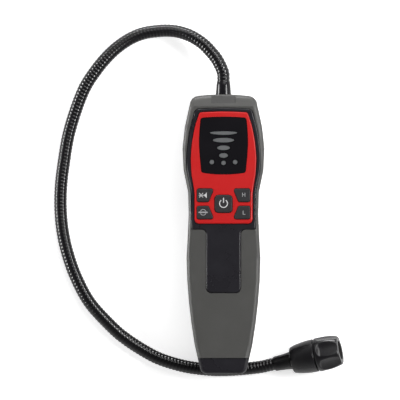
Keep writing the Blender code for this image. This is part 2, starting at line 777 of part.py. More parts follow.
def make_rear_housing(materials):
    """Makes the black back half, with its bosses and the door's opening."""
    bm = prism_mesh(body_outline(0), 0, SPLIT_Z)
    cut_away(bm, *taper_plane(0))
    split = at_height(SPLIT_Z)
    round_edges(bm, BACK_ROUND, 2, lambda edge: not split(edge))
    housing = add_object("rear_housing", bm, materials["black"])

    bm = prism_mesh(body_outline(-REAR_WALL), REAR_FLOOR, SPLIT_Z + REAR_FLOOR)
    cut_away(bm, *taper_plane(REAR_FLOOR))
    cut(housing, cutter("rear_cavity", bm))

    corners = rectangle(DOOR_HALF, DOOR_LOW_Y, DOOR_HIGH_Y)
    opening = rounded_polygon(corners, DOOR_CORNER, GAP)
    cut(housing, prism_cutter("door_opening", opening, -REAR_FLOOR, 2 * REAR_FLOOR))

    for index, (x, y, head) in enumerate(screw_places(), start=1):
        join(housing, boss_cutter(f"rear_boss_{index}", x, y, REAR_FLOOR / 2, SPLIT_Z))
        cut(housing, cylinder_cutter(f"rear_hole_{index}", x, y, SCREW_RADIUS + GAP,
                                     -OVERSHOOT, SPLIT_Z + OVERSHOOT))
        cut(housing, cylinder_cutter(f"rear_sink_{index}", x, y, SCREW_HEAD_RADIUS + GAP,
                                     -OVERSHOOT, head + SCREW_HEAD_HEIGHT + GAP))
    cut(housing, boot_hole("rear_boot_hole"))
    return housing


def make_front_housing(materials):
    """Makes the black front half: shell, ring and panel round the face, posts, bosses and tail."""
    shell_offset = -GRIP_WALL - GAP
    shell_depth = GRIP_FRONT + GAP
    bm = prism_mesh(body_outline(shell_offset), SPLIT_Z + GAP, SHELL_OUTER_Z)
    cut_away(bm, *slope_plane(shell_depth))
    round_edges(bm, SHELL_ROUND, 1, at_height(SHELL_OUTER_Z))
    housing = add_object("front_housing", bm, materials["black"])

    tail_top = FRONT_Z - PANEL_DROP
    bm = prism_mesh(body_outline(0), SPLIT_Z + GAP, tail_top)
    cut_away(bm, (0, GRIP_END_Y - GAP, 0), (0, 1, 0))
    front = at_height(tail_top)
    tail_end = GRIP_END_Y - 2 * GAP
    round_edges(bm, TAIL_ROUND, 3, lambda edge: front(edge) and min(v.co.y for v in edge.verts) < tail_end)
    join(housing, cutter("tail", bm))

    middle_z = SHELL_INNER_Z + SHELL_FRONT / 2
    surround_top = FRONT_Z + RING_RISE
    bm = prism_mesh(surround_outline(0), middle_z, surround_top)
    round_edges(bm, RING_ROUND, 2, at_height(surround_top))
    join(housing, cutter("surround", bm))
    cut(housing, prism_cutter("bezel_pocket", bezel_outline(GAP), SHELL_OUTER_Z, FRONT_Z + OVERSHOOT))

    bm = prism_mesh(body_outline(shell_offset - SHELL_WALL), SPLIT_Z - OVERSHOOT, SHELL_INNER_Z)
    cut_away(bm, *slope_plane(shell_depth + SHELL_FRONT))
    cut(housing, cutter("front_cavity", bm))

    for index, y in enumerate((POST_LOW_Y, POST_HIGH_Y)):
        for side in (-1, 1):
            post = cylinder_cutter(f"post_{index}_{side + 1}", side * POST_X, y, POST_RADIUS,
                                   BOARD_TOP_Z + GAP, middle_z)
            join(housing, post)
    for index, (x, y, _) in enumerate(screw_places(), start=1):
        boss = cylinder_cutter(f"front_boss_{index}", x, y, BOSS_RADIUS - SHELL_WALL / 2,
                               SPLIT_Z + GAP, middle_z)
        join(housing, boss)
        cut(housing, cylinder_cutter(f"front_hole_{index}", x, y, SCREW_RADIUS + GAP,
                                     SPLIT_Z - OVERSHOOT, SPLIT_Z + SCREW_GRIP + GAP))

    shell_low, shell_high = SHELL_INNER_Z - OVERSHOOT, SHELL_OUTER_Z + OVERSHOOT
    pipes = rounded_polygon(rectangle(PIPE_HOLE_HALF, PIPE_HOLE_LOW_Y, PIPE_HOLE_HIGH_Y), HOLE_CORNER)
    cut(housing, prism_cutter("pipe_hole", pipes, shell_low, shell_high))
    for name, corners, radius in key_shapes():
        hole = rounded_polygon(corners, radius, GAP)
        cut(housing, prism_cutter(f"shell_{name}_hole", hole, shell_low, shell_high))
    cut(housing, boot_hole("front_boot_hole"))
    return housing


def make_grip(materials):
    """Makes the grey skin over the front half's sides, sloped top end and handle."""
    bm = prism_mesh(body_outline(0), SPLIT_Z + GAP, FRONT_Z)
    cut_away(bm, (0, GRIP_END_Y, 0), (0, -1, 0))
    cut_away(bm, *slope_plane(0))
    front, slope = at_height(FRONT_Z), on_plane(*slope_plane(0))
    grip_low = GRIP_END_Y + GAP
    round_edges(bm, FRONT_ROUND, 3, lambda edge: (
        (front(edge) or slope(edge)) and max(v.co.y for v in edge.verts) > grip_low))
    grip = add_object("grip_overmould", bm, materials["grey"])

    bm = prism_mesh(body_outline(-GRIP_WALL), SPLIT_Z - OVERSHOOT, FRONT_Z - GRIP_FRONT)
    cut_away(bm, *slope_plane(GRIP_FRONT))
    cut(grip, cutter("grip_cavity", bm))
    cut(grip, prism_cutter("grip_window", surround_outline(GAP), SPLIT_Z, FRONT_Z + OVERSHOOT))

    pad = box_cutter("grip_pad", (-PAD_HALF, PAD_START, -PAD_DEPTH), (PAD_HALF, PAD_START + TOP_Y, OVERSHOOT))
    pad.location = slope_plane(0)[0]
    pad.rotation_euler = (-SLOPE_ANGLE, 0, 0)
    cut(grip, pad)
    cut(grip, boot_hole("grip_boot_hole"))
    return grip


def mirrored(corners):
    """Returns a polygon mirrored in x, still counter-clockwise."""
    return tuple((-x, y) for x, y in reversed(corners))


def key_shapes():
    """Returns the name, corners and corner radius of each key."""
    return (
        ("key_power", POWER_KEY, POWER_CORNER),
        ("key_mute", mirrored(UPPER_KEY), KEY_CORNER),
        ("key_alert", mirrored(LOWER_KEY), KEY_CORNER),
        ("key_high", UPPER_KEY, KEY_CORNER),
        ("key_low", LOWER_KEY, KEY_CORNER),
    )


def bar_outline(width, y, offset=0.0, flat=0.0, steps=16):
    """Returns the lens outline of an indicator bar; flat lowers its upper side."""
    points = []
    for step in range(steps):
        angle = 2 * math.pi * step / steps
        height = BAR_HEIGHT / 2 + offset
        rise = math.sin(angle) * height
        if rise > 0:
            rise *= 1 - flat
        points.append(((width / 2 + offset) * math.cos(angle), y + rise))
    return points


def circle(x, y, radius, steps=14):
    """Returns the points of a circle."""
    return [(x + point[0], y + point[1]) for point in arc(0, 0, radius, 0, 360, steps)[:-1]]


def pipe_shapes(offset):
    """Returns the name and outline of each light pipe."""
    shapes = []
    for index, (width, y) in enumerate(BARS, start=1):
        flat = BAR_FLAT if index == 1 else 0.0
        shapes.append((f"indicator_bar_{index}", bar_outline(width, y, offset, flat)))
    for index, (x, y) in enumerate(DOTS, start=1):
        shapes.append((f"indicator_dot_{index}", circle(x, y, DOT_RADIUS + offset)))
    return shapes


def make_face(materials):
    """Makes the red plate, the window and the light pipes behind it."""
    bm = prism_mesh(bezel_outline(0), BEZEL_LOW_Z, BEZEL_TOP_Z)
    round_edges(bm, BEZEL_ROUND, 2, at_height(BEZEL_TOP_Z))
    bezel = add_object("face_bezel", bm, materials["red"])
    low, high = BEZEL_LOW_Z - OVERSHOOT, BEZEL_TOP_Z + OVERSHOOT
    cut(bezel, prism_cutter("window_hole", window_outline(GAP), low, high))
    for name, corners, radius in key_shapes():
        hole = rounded_polygon(corners, radius, GAP)
        cut(bezel, prism_cutter(f"bezel_{name}_hole", hole, low, high))

    window_top = BEZEL_TOP_Z - WINDOW_DROP
    window = prism("display_window", window_outline(0), BEZEL_LOW_Z, window_top, materials["window"])
    for name, points in pipe_shapes(GAP):
        cut(window, prism_cutter(f"{name}_hole", points, low, high))
    for name, points in pipe_shapes(0.0):
        prism(name, points, BOARD_TOP_Z + GAP, window_top + PIPE_PROUD, materials["pipe"])


def make_keys(materials):
    """Makes the five keys, each with the flange that holds it under the shell."""
    for name, corners, radius in key_shapes():
        top = BEZEL_TOP_Z + KEY_RISE
        bm = prism_mesh(rounded_polygon(corners, radius), FLANGE_LOW_Z + KEY_FLANGE_THICK / 2, top)
        round_edges(bm, KEY_ROUND, 2, at_height(top))
        key = add_object(name, bm, materials["key"])
        flange = rounded_polygon(corners, radius, KEY_FLANGE)
        join(key, prism_cutter(f"{name}_flange", flange, FLANGE_LOW_Z, FLANGE_LOW_Z + KEY_FLANGE_THICK))


def make_electronics(materials):
    """Makes the keypad membrane, circuit board, buzzer and vibration motor."""
    membrane = rounded_polygon(rectangle(KEYPAD_HALF, MEMBRANE_LOW_Y, MEMBRANE_HIGH_Y), HOLE_CORNER)
    membrane_low = BOARD_TOP_Z + GAP
    prism("keypad_membrane", membrane, membrane_low, membrane_low + MEMBRANE_THICK, materials["key"])
    board_low = BOARD_TOP_Z - BOARD_THICK
    board = rounded_polygon(rectangle(KEYPAD_HALF, BOARD_LOW_Y, BOARD_HIGH_Y), BOARD_CORNER)
    prism("circuit_board", board, board_low, BOARD_TOP_Z, materials["board"])

    top = board_low - GAP
    end = top - BUZZER_HEIGHT
    port_floor = end + BUZZER_PORT_DEPTH
    profile = ((0, top), (BUZZER_RADIUS, top), (BUZZER_RADIUS, end), (BUZZER_PORT_RADIUS, end),
               (BUZZER_PORT_RADIUS, port_floor), (0, port_floor))
    buzzer = turned("buzzer", profile, materials["black"], SMALL_STEPS)
    buzzer.location = (0, BUZZER_Y, 0)

    motor_z = REAR_FLOOR + GAP + MOTOR_RADIUS
    shaft_end = MOTOR_LENGTH + WEIGHT_LENGTH + 3 * GAP
    profile = ((0, shaft_end), (SHAFT_RADIUS, shaft_end), (SHAFT_RADIUS, MOTOR_LENGTH),
               (MOTOR_RADIUS, MOTOR_LENGTH), (MOTOR_RADIUS, 0), (0, 0))
    motor = turned("vibration_motor", profile, materials["metal"], SMALL_STEPS)
    low = MOTOR_LENGTH + GAP
    high = low + WEIGHT_LENGTH
    bore = SHAFT_RADIUS + GAP
    profile = ((WEIGHT_RADIUS, high), (WEIGHT_RADIUS, low), (bore, low), (bore, high))
    weight = turned("motor_weight", profile, materials["metal"], SMALL_STEPS, closed=True)
    for obj in (motor, weight):
        obj.location = (-MOTOR_LENGTH / 2, MOTOR_Y, motor_z)
        obj.rotation_euler = (0, math.pi / 2, 0)
    flat = box_cutter("weight_flat", (-WEIGHT_RADIUS - GAP, -WEIGHT_RADIUS, low - GAP),
                      (-bore - GAP, WEIGHT_RADIUS, high + GAP))
    flat.location = weight.location
    flat.rotation_euler = weight.rotation_euler
    cut(weight, flat)


def spring_points(start_y, end_y, x, z):
    """Returns the points of a contact spring between two ends along Y."""
    points = []
    count = SPRING_TURNS * SPRING_STEPS
    low, high = min(start_y, end_y) + SPRING_WIRE, max(start_y, end_y) - SPRING_WIRE
    for step in range(count + 1):
        angle = 2 * math.pi * step / SPRING_STEPS
        points.append((x + SPRING_RADIUS * math.cos(angle), low + (high - low) * step / count,
                       z + SPRING_RADIUS * math.sin(angle)))
    return points


def make_batteries(materials):
    """Makes the battery holder, cells, contacts, springs, door and door screw."""
    half = HOLDER_INNER_HALF
    outer = rounded_polygon(rectangle(HOLDER_HALF, BAY_BOTTOM_Y, BAY_TOP_Y), HOLDER_WALL)
    low = DOOR_TOP_Z + GAP
    holder = prism("battery_holder", outer, low, HOLDER_TOP_Z, materials["black"])
    inner_low, inner_high = BAY_BOTTOM_Y + HOLDER_WALL, BAY_TOP_Y - HOLDER_WALL
    cut(holder, box_cutter("holder_cavity", (-half, inner_low, low - OVERSHOOT),
                           (half, inner_high, HOLDER_TOP_Z - HOLDER_WALL)))
    join(holder, box_cutter("holder_lug", (-LUG_HALF, BAY_BOTTOM_Y - LUG_LENGTH, low),
                            (LUG_HALF, BAY_BOTTOM_Y + HOLDER_WALL / 2, low + LUG_HEIGHT)))
    screw_y = BAY_BOTTOM_Y - LUG_LENGTH / 2
    screw_end = DOOR_HEAD_Z + DOOR_SCREW_LENGTH
    cut(holder, cylinder_cutter("lug_hole", 0, screw_y, SCREW_RADIUS + GAP, low - OVERSHOOT, screw_end + GAP))

    for name, start in (("contact_plate_upper", inner_high - GAP - CONTACT_THICK),
                        ("contact_plate_lower", inner_low + GAP)):
        bm = box_mesh((-half + GAP, start, CELL_LOW_Z - CONTACT_REACH),
                      (half - GAP, start + CONTACT_THICK, CELL_HIGH_Z + CONTACT_REACH))
        add_object(name, bm, materials["metal"])

    upper_end = inner_high - 2 * GAP - CONTACT_THICK
    lower_end = inner_low + 2 * GAP + CONTACT_THICK
    nub_end = CELL_LENGTH + CELL_NUB_LENGTH
    profile = ((0, nub_end), (CELL_NUB_RADIUS, nub_end), (CELL_NUB_RADIUS, CELL_LENGTH),
               (CELL_RADIUS - CELL_EDGE, CELL_LENGTH), (CELL_RADIUS, CELL_LENGTH - CELL_EDGE),
               (CELL_RADIUS, 0), (0, 0))
    index = 0
    for x, flip in ((-CELL_X, False), (CELL_X, True)):
        for z in (CELL_LOW_Z, CELL_HIGH_Z):
            index += 1
            cell = turned(f"battery_{index}", profile, materials["cell"], 14)
            nub_up = flip != (z == CELL_HIGH_Z)
            if nub_up:
                cell.location = (x, upper_end - nub_end, z)
                cell.rotation_euler = (-math.pi / 2, 0, 0)
                ends = (lower_end, lower_end + SPRING_LENGTH)
            else:
                cell.location = (x, lower_end + nub_end, z)
                cell.rotation_euler = (math.pi / 2, 0, 0)
                ends = (upper_end - SPRING_LENGTH, upper_end)
            tube(f"battery_spring_{index}", spring_points(*ends, x, z), SPRING_WIRE, materials["metal"], 0)

    door_outline = rounded_polygon(rectangle(DOOR_HALF, DOOR_LOW_Y, DOOR_HIGH_Y), DOOR_CORNER)
    door = prism("battery_door", door_outline, GAP, DOOR_TOP_Z, materials["black"])
    head_top = DOOR_HEAD_Z + DOOR_HEAD_HEIGHT
    cut(door, cylinder_cutter("door_sink", 0, screw_y, SCREW_HEAD_RADIUS + GAP,
                              -OVERSHOOT, head_top + GAP))
    cut(door, cylinder_cutter("door_hole", 0, screw_y, SCREW_RADIUS + GAP,
                              -OVERSHOOT, DOOR_TOP_Z + OVERSHOOT))
    for index in range(DOOR_RIDGES):
        y = DOOR_HIGH_Y - DOOR_RIDGE_PITCH * (index + 2)
        cut(door, box_cutter(f"door_groove_{index}", (-DOOR_RIDGE_HALF, y, -OVERSHOOT),
                             (DOOR_RIDGE_HALF, y + DOOR_RIDGE_PITCH / 2, GAP + DOOR_RIDGE_DEPTH)))
    profile = ((0, screw_end), (SCREW_RADIUS, screw_end), (SCREW_RADIUS, head_top),
               (SCREW_HEAD_RADIUS, head_top), (SCREW_HEAD_RADIUS, DOOR_HEAD_Z), (0, DOOR_HEAD_Z))
    screw = turned("door_screw", profile, materials["metal"], HOLE_STEPS)
    screw.location = (0, screw_y, 0)
    cut(screw, cylinder_cutter("door_screw_socket", 0, screw_y, SCREW_SOCKET, -OVERSHOOT, head_top - GAP, 6))


def make_screws(materials):
    """Makes the four screws that hold the two halves together."""
    for index, (x, y, head) in enumerate(screw_places(), start=1):
        top = SPLIT_Z + SCREW_GRIP
        under = head + SCREW_HEAD_HEIGHT
        profile = ((0, top), (SCREW_RADIUS, top), (SCREW_RADIUS, under),
                   (SCREW_HEAD_RADIUS, under), (SCREW_HEAD_RADIUS, head), (0, head))
        screw = turned(f"housing_screw_{index}", profile, materials["metal"], HOLE_STEPS)
        screw.location = (x, y, 0)
        cut(screw, cylinder_cutter(f"socket_{index}", x, y, SCREW_SOCKET,
                                   head - OVERSHOOT, under - 2 * GAP, 6))


def make_neck(materials):
    """Makes the boot and the flexible neck, which comes down to the surface and passes under the tail."""
    flange_top = TOP_Y - GRIP_WALL - SHELL_WALL - 2 * GAP
    flange_low = flange_top - BOOT_FLANGE_THICK
    profile = (
        (0, BOOT_END_Y),
        (BOOT_END_RADIUS - BOOT_EDGE, BOOT_END_Y),
        (BOOT_END_RADIUS, BOOT_END_Y - BOOT_EDGE),
        (BOOT_BASE_RADIUS, TOP_Y + GAP),
        (BOOT_BASE_RADIUS, flange_top),
        (BOOT_FLANGE_RADIUS, flange_top),
        (BOOT_FLANGE_RADIUS, flange_low),
        (0, flange_low),
    )
    boot = turned("neck_boot", profile, materials["neck"], 24)
    boot.location = (0, 0, SPLIT_Z)
    boot.rotation_euler = (-math.pi / 2, 0, 0)
    tube("gooseneck", neck_path(), NECK_RADIUS, materials["neck"], 3)


def neck_path():
    """Returns the neck's centre line, from the boot to the sensor head's sleeve."""
    straight = [(0, BOOT_END_Y + lead, SPLIT_Z) for lead in (GAP + NECK_SLACK, NECK_LEAD)]
    route = [(x, y, LAID_Z + rise) for x, y, rise in NECK_ROUTE]
    arrival = [head_place() @ Vector((0, 0, -SLEEVE_LENGTH - lead)) for lead in (NECK_RUN_IN, NECK_LEAD, GAP)]
    return smooth_through([*straight, *route, *arrival], 2)


def head_height():
    """Returns the height of the head's axis at its rear face, with its barrel resting on the surface."""
    reach = [r * math.cos(HEAD_TILT) - s * math.sin(HEAD_TILT) for s, r in (*HOUSING_PROFILE, *CAP_PROFILE)]
    return max(reach) + REST_GAP


def head_place():
    """Returns the matrix that takes Z to the sensor head's axis."""
    turn = Matrix.Rotation(HEAD_TURN, 4, "Z") @ Matrix.Rotation(math.pi / 2 - HEAD_TILT, 4, "Y")
    return Matrix.Translation((HEAD_X, HEAD_Y, head_height())) @ turn


def make_head(materials):
    """Makes the sleeve, housing, sensor, seal, filter and fluted cap of the sensor head."""
    axis = bpy.data.objects.new("head_axis", None)
    get_collection(PARTS).objects.link(axis)
    axis.matrix_world = head_place()
    black = materials["head"]
    spigot_end = SEAM_S + SPIGOT_LENGTH
    seal_floor = SEAM_S - SEAL_DEPTH
    seal_outer = SPIGOT_RADIUS + 2 * GAP + 2 * SEAL_WIRE
    pieces = [turned("head_sleeve", (
        (0, -GAP), (SLEEVE_FRONT_RADIUS, -GAP), (SLEEVE_REAR_RADIUS, -SLEEVE_LENGTH + BOOT_EDGE),
        (SLEEVE_REAR_RADIUS - BOOT_EDGE, -SLEEVE_LENGTH), (0, -SLEEVE_LENGTH)), materials["neck"], 24)]
    shell = [(r, s) for s, r in reversed(HOUSING_PROFILE)]
    pieces.append(turned("head_housing", (
        (0, HEAD_WALL), (HEAD_BORE, HEAD_WALL), (HEAD_BORE, spigot_end), (SPIGOT_RADIUS, spigot_end),
        (SPIGOT_RADIUS, seal_floor), (seal_outer, seal_floor), (seal_outer, SEAM_S),
        *shell, (0, 0)), black))
    can = HEAD_BORE - GAP
    can_low = HEAD_WALL + GAP
    filter_low = HEAD_LENGTH - CAP_LIP - GAP - FILTER_THICK
    can_top = filter_low - SENSOR_ROOM
    pieces.append(turned("sensor_element", (
        (0, can_top - CAN_DISH), (CAN_DISH_RADIUS, can_top - CAN_DISH), (CAN_DISH_RADIUS, can_top),
        (can - CAN_EDGE, can_top), (can, can_top - CAN_EDGE), (can, can_low), (0, can_low)),
        materials["metal"], SMALL_STEPS))
    seal_s = seal_floor + GAP + SEAL_WIRE
    seal_r = SPIGOT_RADIUS + GAP + SEAL_WIRE
    ring = [(seal_r + x, seal_s + y) for x, y in arc(0, 0, SEAL_WIRE, 360, 72, 4)]
    pieces.append(turned("cap_seal", ring, materials["key"], SMALL_STEPS, closed=True))
    chamber = HEAD_BORE + GAP
    lip = HEAD_LENGTH - CAP_LIP
    filter_radius = chamber - GAP
    pieces.append(turned("filter_disc", (
        (0, lip - GAP), (filter_radius, lip - GAP), (filter_radius, filter_low), (0, filter_low)),
        materials["white"]))
    outer = [(r, s) for s, r in reversed(CAP_PROFILE)]
    thread = SPIGOT_RADIUS + GAP
    cap = turned("sensor_cap", (
        *outer, (thread, SEAM_S + SEAM_WIDTH), (thread, spigot_end + GAP), (chamber, spigot_end + GAP),
        (chamber, lip), (CAP_MOUTH, lip), (CAP_MOUTH, HEAD_LENGTH)), black, closed=True)
    pieces.append(cap)
    slope = math.atan2(FLUTE_REAR_RADIUS - FLUTE_FRONT_RADIUS, FLUTE_FRONT_S - FLUTE_REAR_S)
    for index in range(FLUTE_COUNT):
        bm = cylinder_mesh(FLUTE_CURVE, 0, HEAD_LENGTH, FLUTE_STEPS)
        round_edges(bm, FLUTE_END_ROUND, 3, at_height(0))
        flute = cutter(f"flute_{index}", bm)
        spin = Matrix.Rotation(FLUTE_TURN + 2 * math.pi * index / FLUTE_COUNT, 4, "Z")
        place = Matrix.Translation((FLUTE_REAR_RADIUS, 0, FLUTE_REAR_S)) @ Matrix.Rotation(-slope, 4, "Y")
        flute.matrix_world = head_place() @ spin @ place @ Matrix.Translation((FLUTE_CURVE, 0, 0))
        cut(cap, flute)
    for piece in pieces:
        piece.parent = axis


def main():
    """Builds the detector."""
    clear_scene()
    materials = make_materials()
    make_rear_housing(materials)
    make_front_housing(materials)
    make_grip(materials)
    make_face(materials)
    make_keys(materials)
    make_electronics(materials)
    make_batteries(materials)
    make_screws(materials)
    make_neck(materials)
    make_head(materials)


main()
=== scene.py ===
"""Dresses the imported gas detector: finishes, ribbed neck, key signs, sensor head and studio."""

import json
import logging
import math
from contextlib import contextmanager
from dataclasses import dataclass
from enum import Enum
from typing import Any, Callable, Iterator, Mapping, Sequence

import bmesh
import bpy
from mathutils import Matrix, Vector


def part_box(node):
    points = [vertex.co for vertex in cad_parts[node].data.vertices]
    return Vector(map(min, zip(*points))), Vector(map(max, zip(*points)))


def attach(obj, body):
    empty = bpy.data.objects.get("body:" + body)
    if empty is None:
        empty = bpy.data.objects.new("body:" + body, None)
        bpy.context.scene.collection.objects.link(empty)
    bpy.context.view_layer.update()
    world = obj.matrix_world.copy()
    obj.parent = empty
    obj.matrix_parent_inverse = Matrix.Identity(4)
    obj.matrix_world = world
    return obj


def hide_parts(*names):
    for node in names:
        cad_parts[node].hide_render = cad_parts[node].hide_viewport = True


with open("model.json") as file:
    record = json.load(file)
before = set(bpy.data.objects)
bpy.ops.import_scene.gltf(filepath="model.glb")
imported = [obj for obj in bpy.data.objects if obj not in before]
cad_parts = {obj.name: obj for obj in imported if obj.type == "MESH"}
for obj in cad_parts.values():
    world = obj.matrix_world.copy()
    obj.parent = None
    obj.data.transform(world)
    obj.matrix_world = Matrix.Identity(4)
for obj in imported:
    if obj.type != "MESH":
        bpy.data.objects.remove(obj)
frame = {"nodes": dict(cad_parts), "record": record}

LOG = logging.getLogger("gas_detector")
ROOT_BODY = "detector_body"
DOOR_BODY = "door"
CAP_BODY = "sensor_cap"
POINT_MERGE = 1e-7
SHORTEST_SPAN = 1e-12
START_RADIUS = 0.001
SHARP_ANGLE = 30.0
CURVE_ANGLE = 32.0
STROKE_END_STEPS = 4
WHITE = (1.0, 1.0, 1.0, 1.0)
BLACK = (0.0, 0.0, 0.0, 1.0)
Color = tuple[float, float, float]
Ring = tuple[float, float]
Point = tuple[float, float]
Feed = float | tuple[float, ...] | bpy.types.NodeSocket


class Slot(Enum):
    """The record's material slots."""

    BLACK = "black_plastic"
    GREY = "grey_rubber"
    RED = "red_plastic"
    WINDOW = "window_black"
    PIPE = "light_pipe"
    KEY = "key_rubber"
    NECK = "neck_black"
    HEAD = "head_black"
    BOARD = "board_green"
    STEEL = "plated_steel"
    CELL = "cell_wrap"
    FILTER = "filter_white"


def pick_only(obj: bpy.types.Object) -> None:
    """Makes an object the only selected one and the active one.

    Args:
        obj: The object.
    """
    bpy.ops.object.select_all(action="DESELECT")
    obj.select_set(True)
    bpy.context.view_layer.objects.active = obj


@contextmanager
def editing(obj: bpy.types.Object) -> Iterator[bmesh.types.BMesh]:
    """Opens an object in edit mode.

    Args:
        obj: The mesh object.

    Returns:
        The edit mesh, for selecting in code.
    """
    pick_only(obj)
    bpy.ops.object.mode_set(mode="EDIT")
    yield bmesh.from_edit_mesh(obj.data)
    bpy.ops.object.mode_set(mode="OBJECT")


def select_faces(obj: bpy.types.Object, test: Callable[[bmesh.types.BMFace], bool]) -> None:
    """Selects the faces that pass a test in edit mode, and nothing else.

    Args:
        obj: The object in edit mode.
        test: Takes a face and says whether it is selected.
    """
    bpy.ops.mesh.select_mode(type="FACE")
    bpy.ops.mesh.select_all(action="DESELECT")
    mesh = bmesh.from_edit_mesh(obj.data)
    for face in mesh.faces:
        if test(face):
            face.select_set(True)
    mesh.select_flush_mode()
    bmesh.update_edit_mesh(obj.data)


def named(name: str) -> bpy.types.Object:
    """Names the object that an operator just added, and its data.

    Args:
        name: The name.

    Returns:
        The object.
    """
    obj = bpy.context.active_object
    obj.name = name
    obj.data.name = name
    return obj


def new_object(name: str, data: bpy.types.ID) -> bpy.types.Object:
    """Adds an object to the scene.

    Args:
        name: Name of the object.
        data: Its mesh or curve.

    Returns:
        The new object.
    """
    obj = bpy.data.objects.new(name, data)
    bpy.context.scene.collection.objects.link(obj)
    return obj


def settle(obj: bpy.types.Object, place: Matrix | None = None) -> None:
    """Puts an object's place into its mesh, which leaves it at the origin.

    Args:
        obj: The object.
        place: Where it goes, if it isn't there yet.
    """
    if place is not None:
        obj.matrix_world = place @ obj.matrix_world
    pick_only(obj)
    bpy.ops.object.transform_apply(location=True, rotation=True, scale=True)


def apply_modifiers(obj: bpy.types.Object) -> None:
    """Applies an object's modifiers in order.

    Args:
        obj: The object.
    """
    pick_only(obj)
    for modifier in list(obj.modifiers):
        bpy.ops.object.modifier_apply(modifier=modifier.name)


def soften(obj: bpy.types.Object, width: float, segments: int) -> None:
    """Rounds an object's sharp edges.

    Args:
        obj: The object.
        width: Width of the rounding.
        segments: Steps across it.
    """
    bevel = obj.modifiers.new("soft_edges", "BEVEL")
    bevel.width = width
    bevel.segments = segments
    bevel.limit_method = "ANGLE"
    bevel.angle_limit = math.radians(SHARP_ANGLE)
    apply_modifiers(obj)


def smooth(obj: bpy.types.Object, angle: float = CURVE_ANGLE) -> None:
    """Shades an object smooth up to an angle in degrees."""
    pick_only(obj)
    bpy.ops.object.shade_smooth_by_angle(angle=math.radians(angle))


def tidy_normals(obj: bpy.types.Object) -> None:
    """Merges doubled points and turns all faces outwards.

    Args:
        obj: The object.
    """
    with editing(obj):
        bpy.ops.mesh.select_all(action="SELECT")
        bpy.ops.mesh.remove_doubles(threshold=POINT_MERGE)
        bpy.ops.mesh.normals_make_consistent(inside=False)


def turned(
        name: str, rings: Sequence[Ring], steps: int, hollow: bool = False) -> bpy.types.Object:
    """Models a round piece about Z by extruding a circle from ring to ring.

    Args:
        name: Name of the piece.
        rings: Radius and height of each ring, along the profile.
        steps: Points round each ring.
        hollow: True if the last ring meets the first one, as in a tube.

    Returns:
        The new object.
    """
    radius, height = rings[0]
    bpy.ops.mesh.primitive_circle_add(vertices=steps, radius=radius, fill_type="NGON")
    obj = named(name)
    with editing(obj):
        bpy.ops.mesh.select_all(action="SELECT")
        bpy.ops.transform.translate(value=(0, 0, height))
        for next_radius, next_height in [*rings[1:], *(rings[:1] if hollow else ())]:
            rise = (0, 0, next_height - height)
            bpy.ops.mesh.extrude_region_move(TRANSFORM_OT_translate={"value": rise})
            share = next_radius / radius
            bpy.ops.transform.resize(
                value=(share, share, 1), center_override=(0, 0, next_height))
            radius, height = next_radius, next_height
        if hollow:
            select_faces(obj, lambda face: len(face.verts) == steps)
            bpy.ops.mesh.delete(type="FACE")
    tidy_normals(obj)
    return obj


def extruded(name: str, outline: Sequence[Point], low: float, high: float) -> bpy.types.Object:
    """Models a plate by moving a circle's points to an outline and extruding it.

    Args:
        name: Name of the piece.
        outline: Corners of the plate, counter-clockwise.
        low: Height of its lower face.
        high: Height of its upper face.

    Returns:
        The new object.
    """
    bpy.ops.mesh.primitive_circle_add(
        vertices=len(outline), radius=START_RADIUS, fill_type="NGON")
    obj = named(name)
    with editing(obj) as mesh:
        mesh.verts.ensure_lookup_table()
        for vert, (x, y) in zip(mesh.verts, outline):
            vert.co = (x, y, low)
        bmesh.update_edit_mesh(obj.data)
        bpy.ops.mesh.select_all(action="SELECT")
        bpy.ops.mesh.extrude_region_move(TRANSFORM_OT_translate={"value": (0, 0, high - low)})
    tidy_normals(obj)
    return obj


def smooth_through(points: Sequence[Vector], steps: int) -> list[Vector]:
    """Returns a Catmull-Rom curve through points.

    Args:
        points: Points that the curve passes.
        steps: Steps in each span.

    Returns:
        The curve's points.
    """
    first = points[0] * 2 - points[1]
    last = points[-1] * 2 - points[-2]
    padded = [first, *points, last]
    curve = []
    for a, b, c, d in zip(padded, padded[1:], padded[2:], padded[3:]):
        for step in range(steps):
            t = step / steps
            curve.append(0.5 * (2 * b + (c - a) * t + (2 * a - 5 * b + 4 * c - d) * t ** 2
                                + (3 * b - a - 3 * c + d) * t ** 3))
    curve.append(points[-1].copy())
    return curve


def spaced(curve: Sequence[Vector], count: int) -> list[Vector]:
    """Spreads points at even distances along a curve.

    Args:
        curve: The curve's points.
        count: How many points are wanted.

    Returns:
        The spread points.
    """
    lengths = [0.0]
    for a, b in zip(curve, curve[1:]):
        lengths.append(lengths[-1] + (b - a).length)
    points = []
    span = 0
    for index in range(count):
        wanted = lengths[-1] * index / (count - 1)
        while span < len(curve) - 2 and lengths[span + 1] < wanted:
            span += 1
        span_length = max(lengths[span + 1] - lengths[span], SHORTEST_SPAN)
        share = (wanted - lengths[span]) / span_length
        points.append(curve[span].lerp(curve[span + 1], min(share, 1.0)))
    return points


def ride(obj: bpy.types.Object, body: str, slot: Slot, *nodes: str) -> None:
    """Puts a finished piece on its body.

    Args:
        obj: The piece.
        body: The body that it moves with.
        slot: The material slot that its finish belongs to; not used.
        nodes: The CAD nodes that it replaces.
    """
    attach(obj, body)
    if nodes:
        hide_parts(*nodes)
    LOG.info("%s rides on %s", obj.name, body)


def feed(node: bpy.types.Node, values: Mapping[str | int, Feed]) -> None:
    """Links outputs to a node's inputs, or gives the inputs fixed values.

    Args:
        node: The shader node.
        values: What each input gets, by its name or its number.
    """
    for key, value in values.items():
        if isinstance(value, bpy.types.NodeSocket):
            node.id_data.links.new(value, node.inputs[key])
        else:
            node.inputs[key].default_value = value


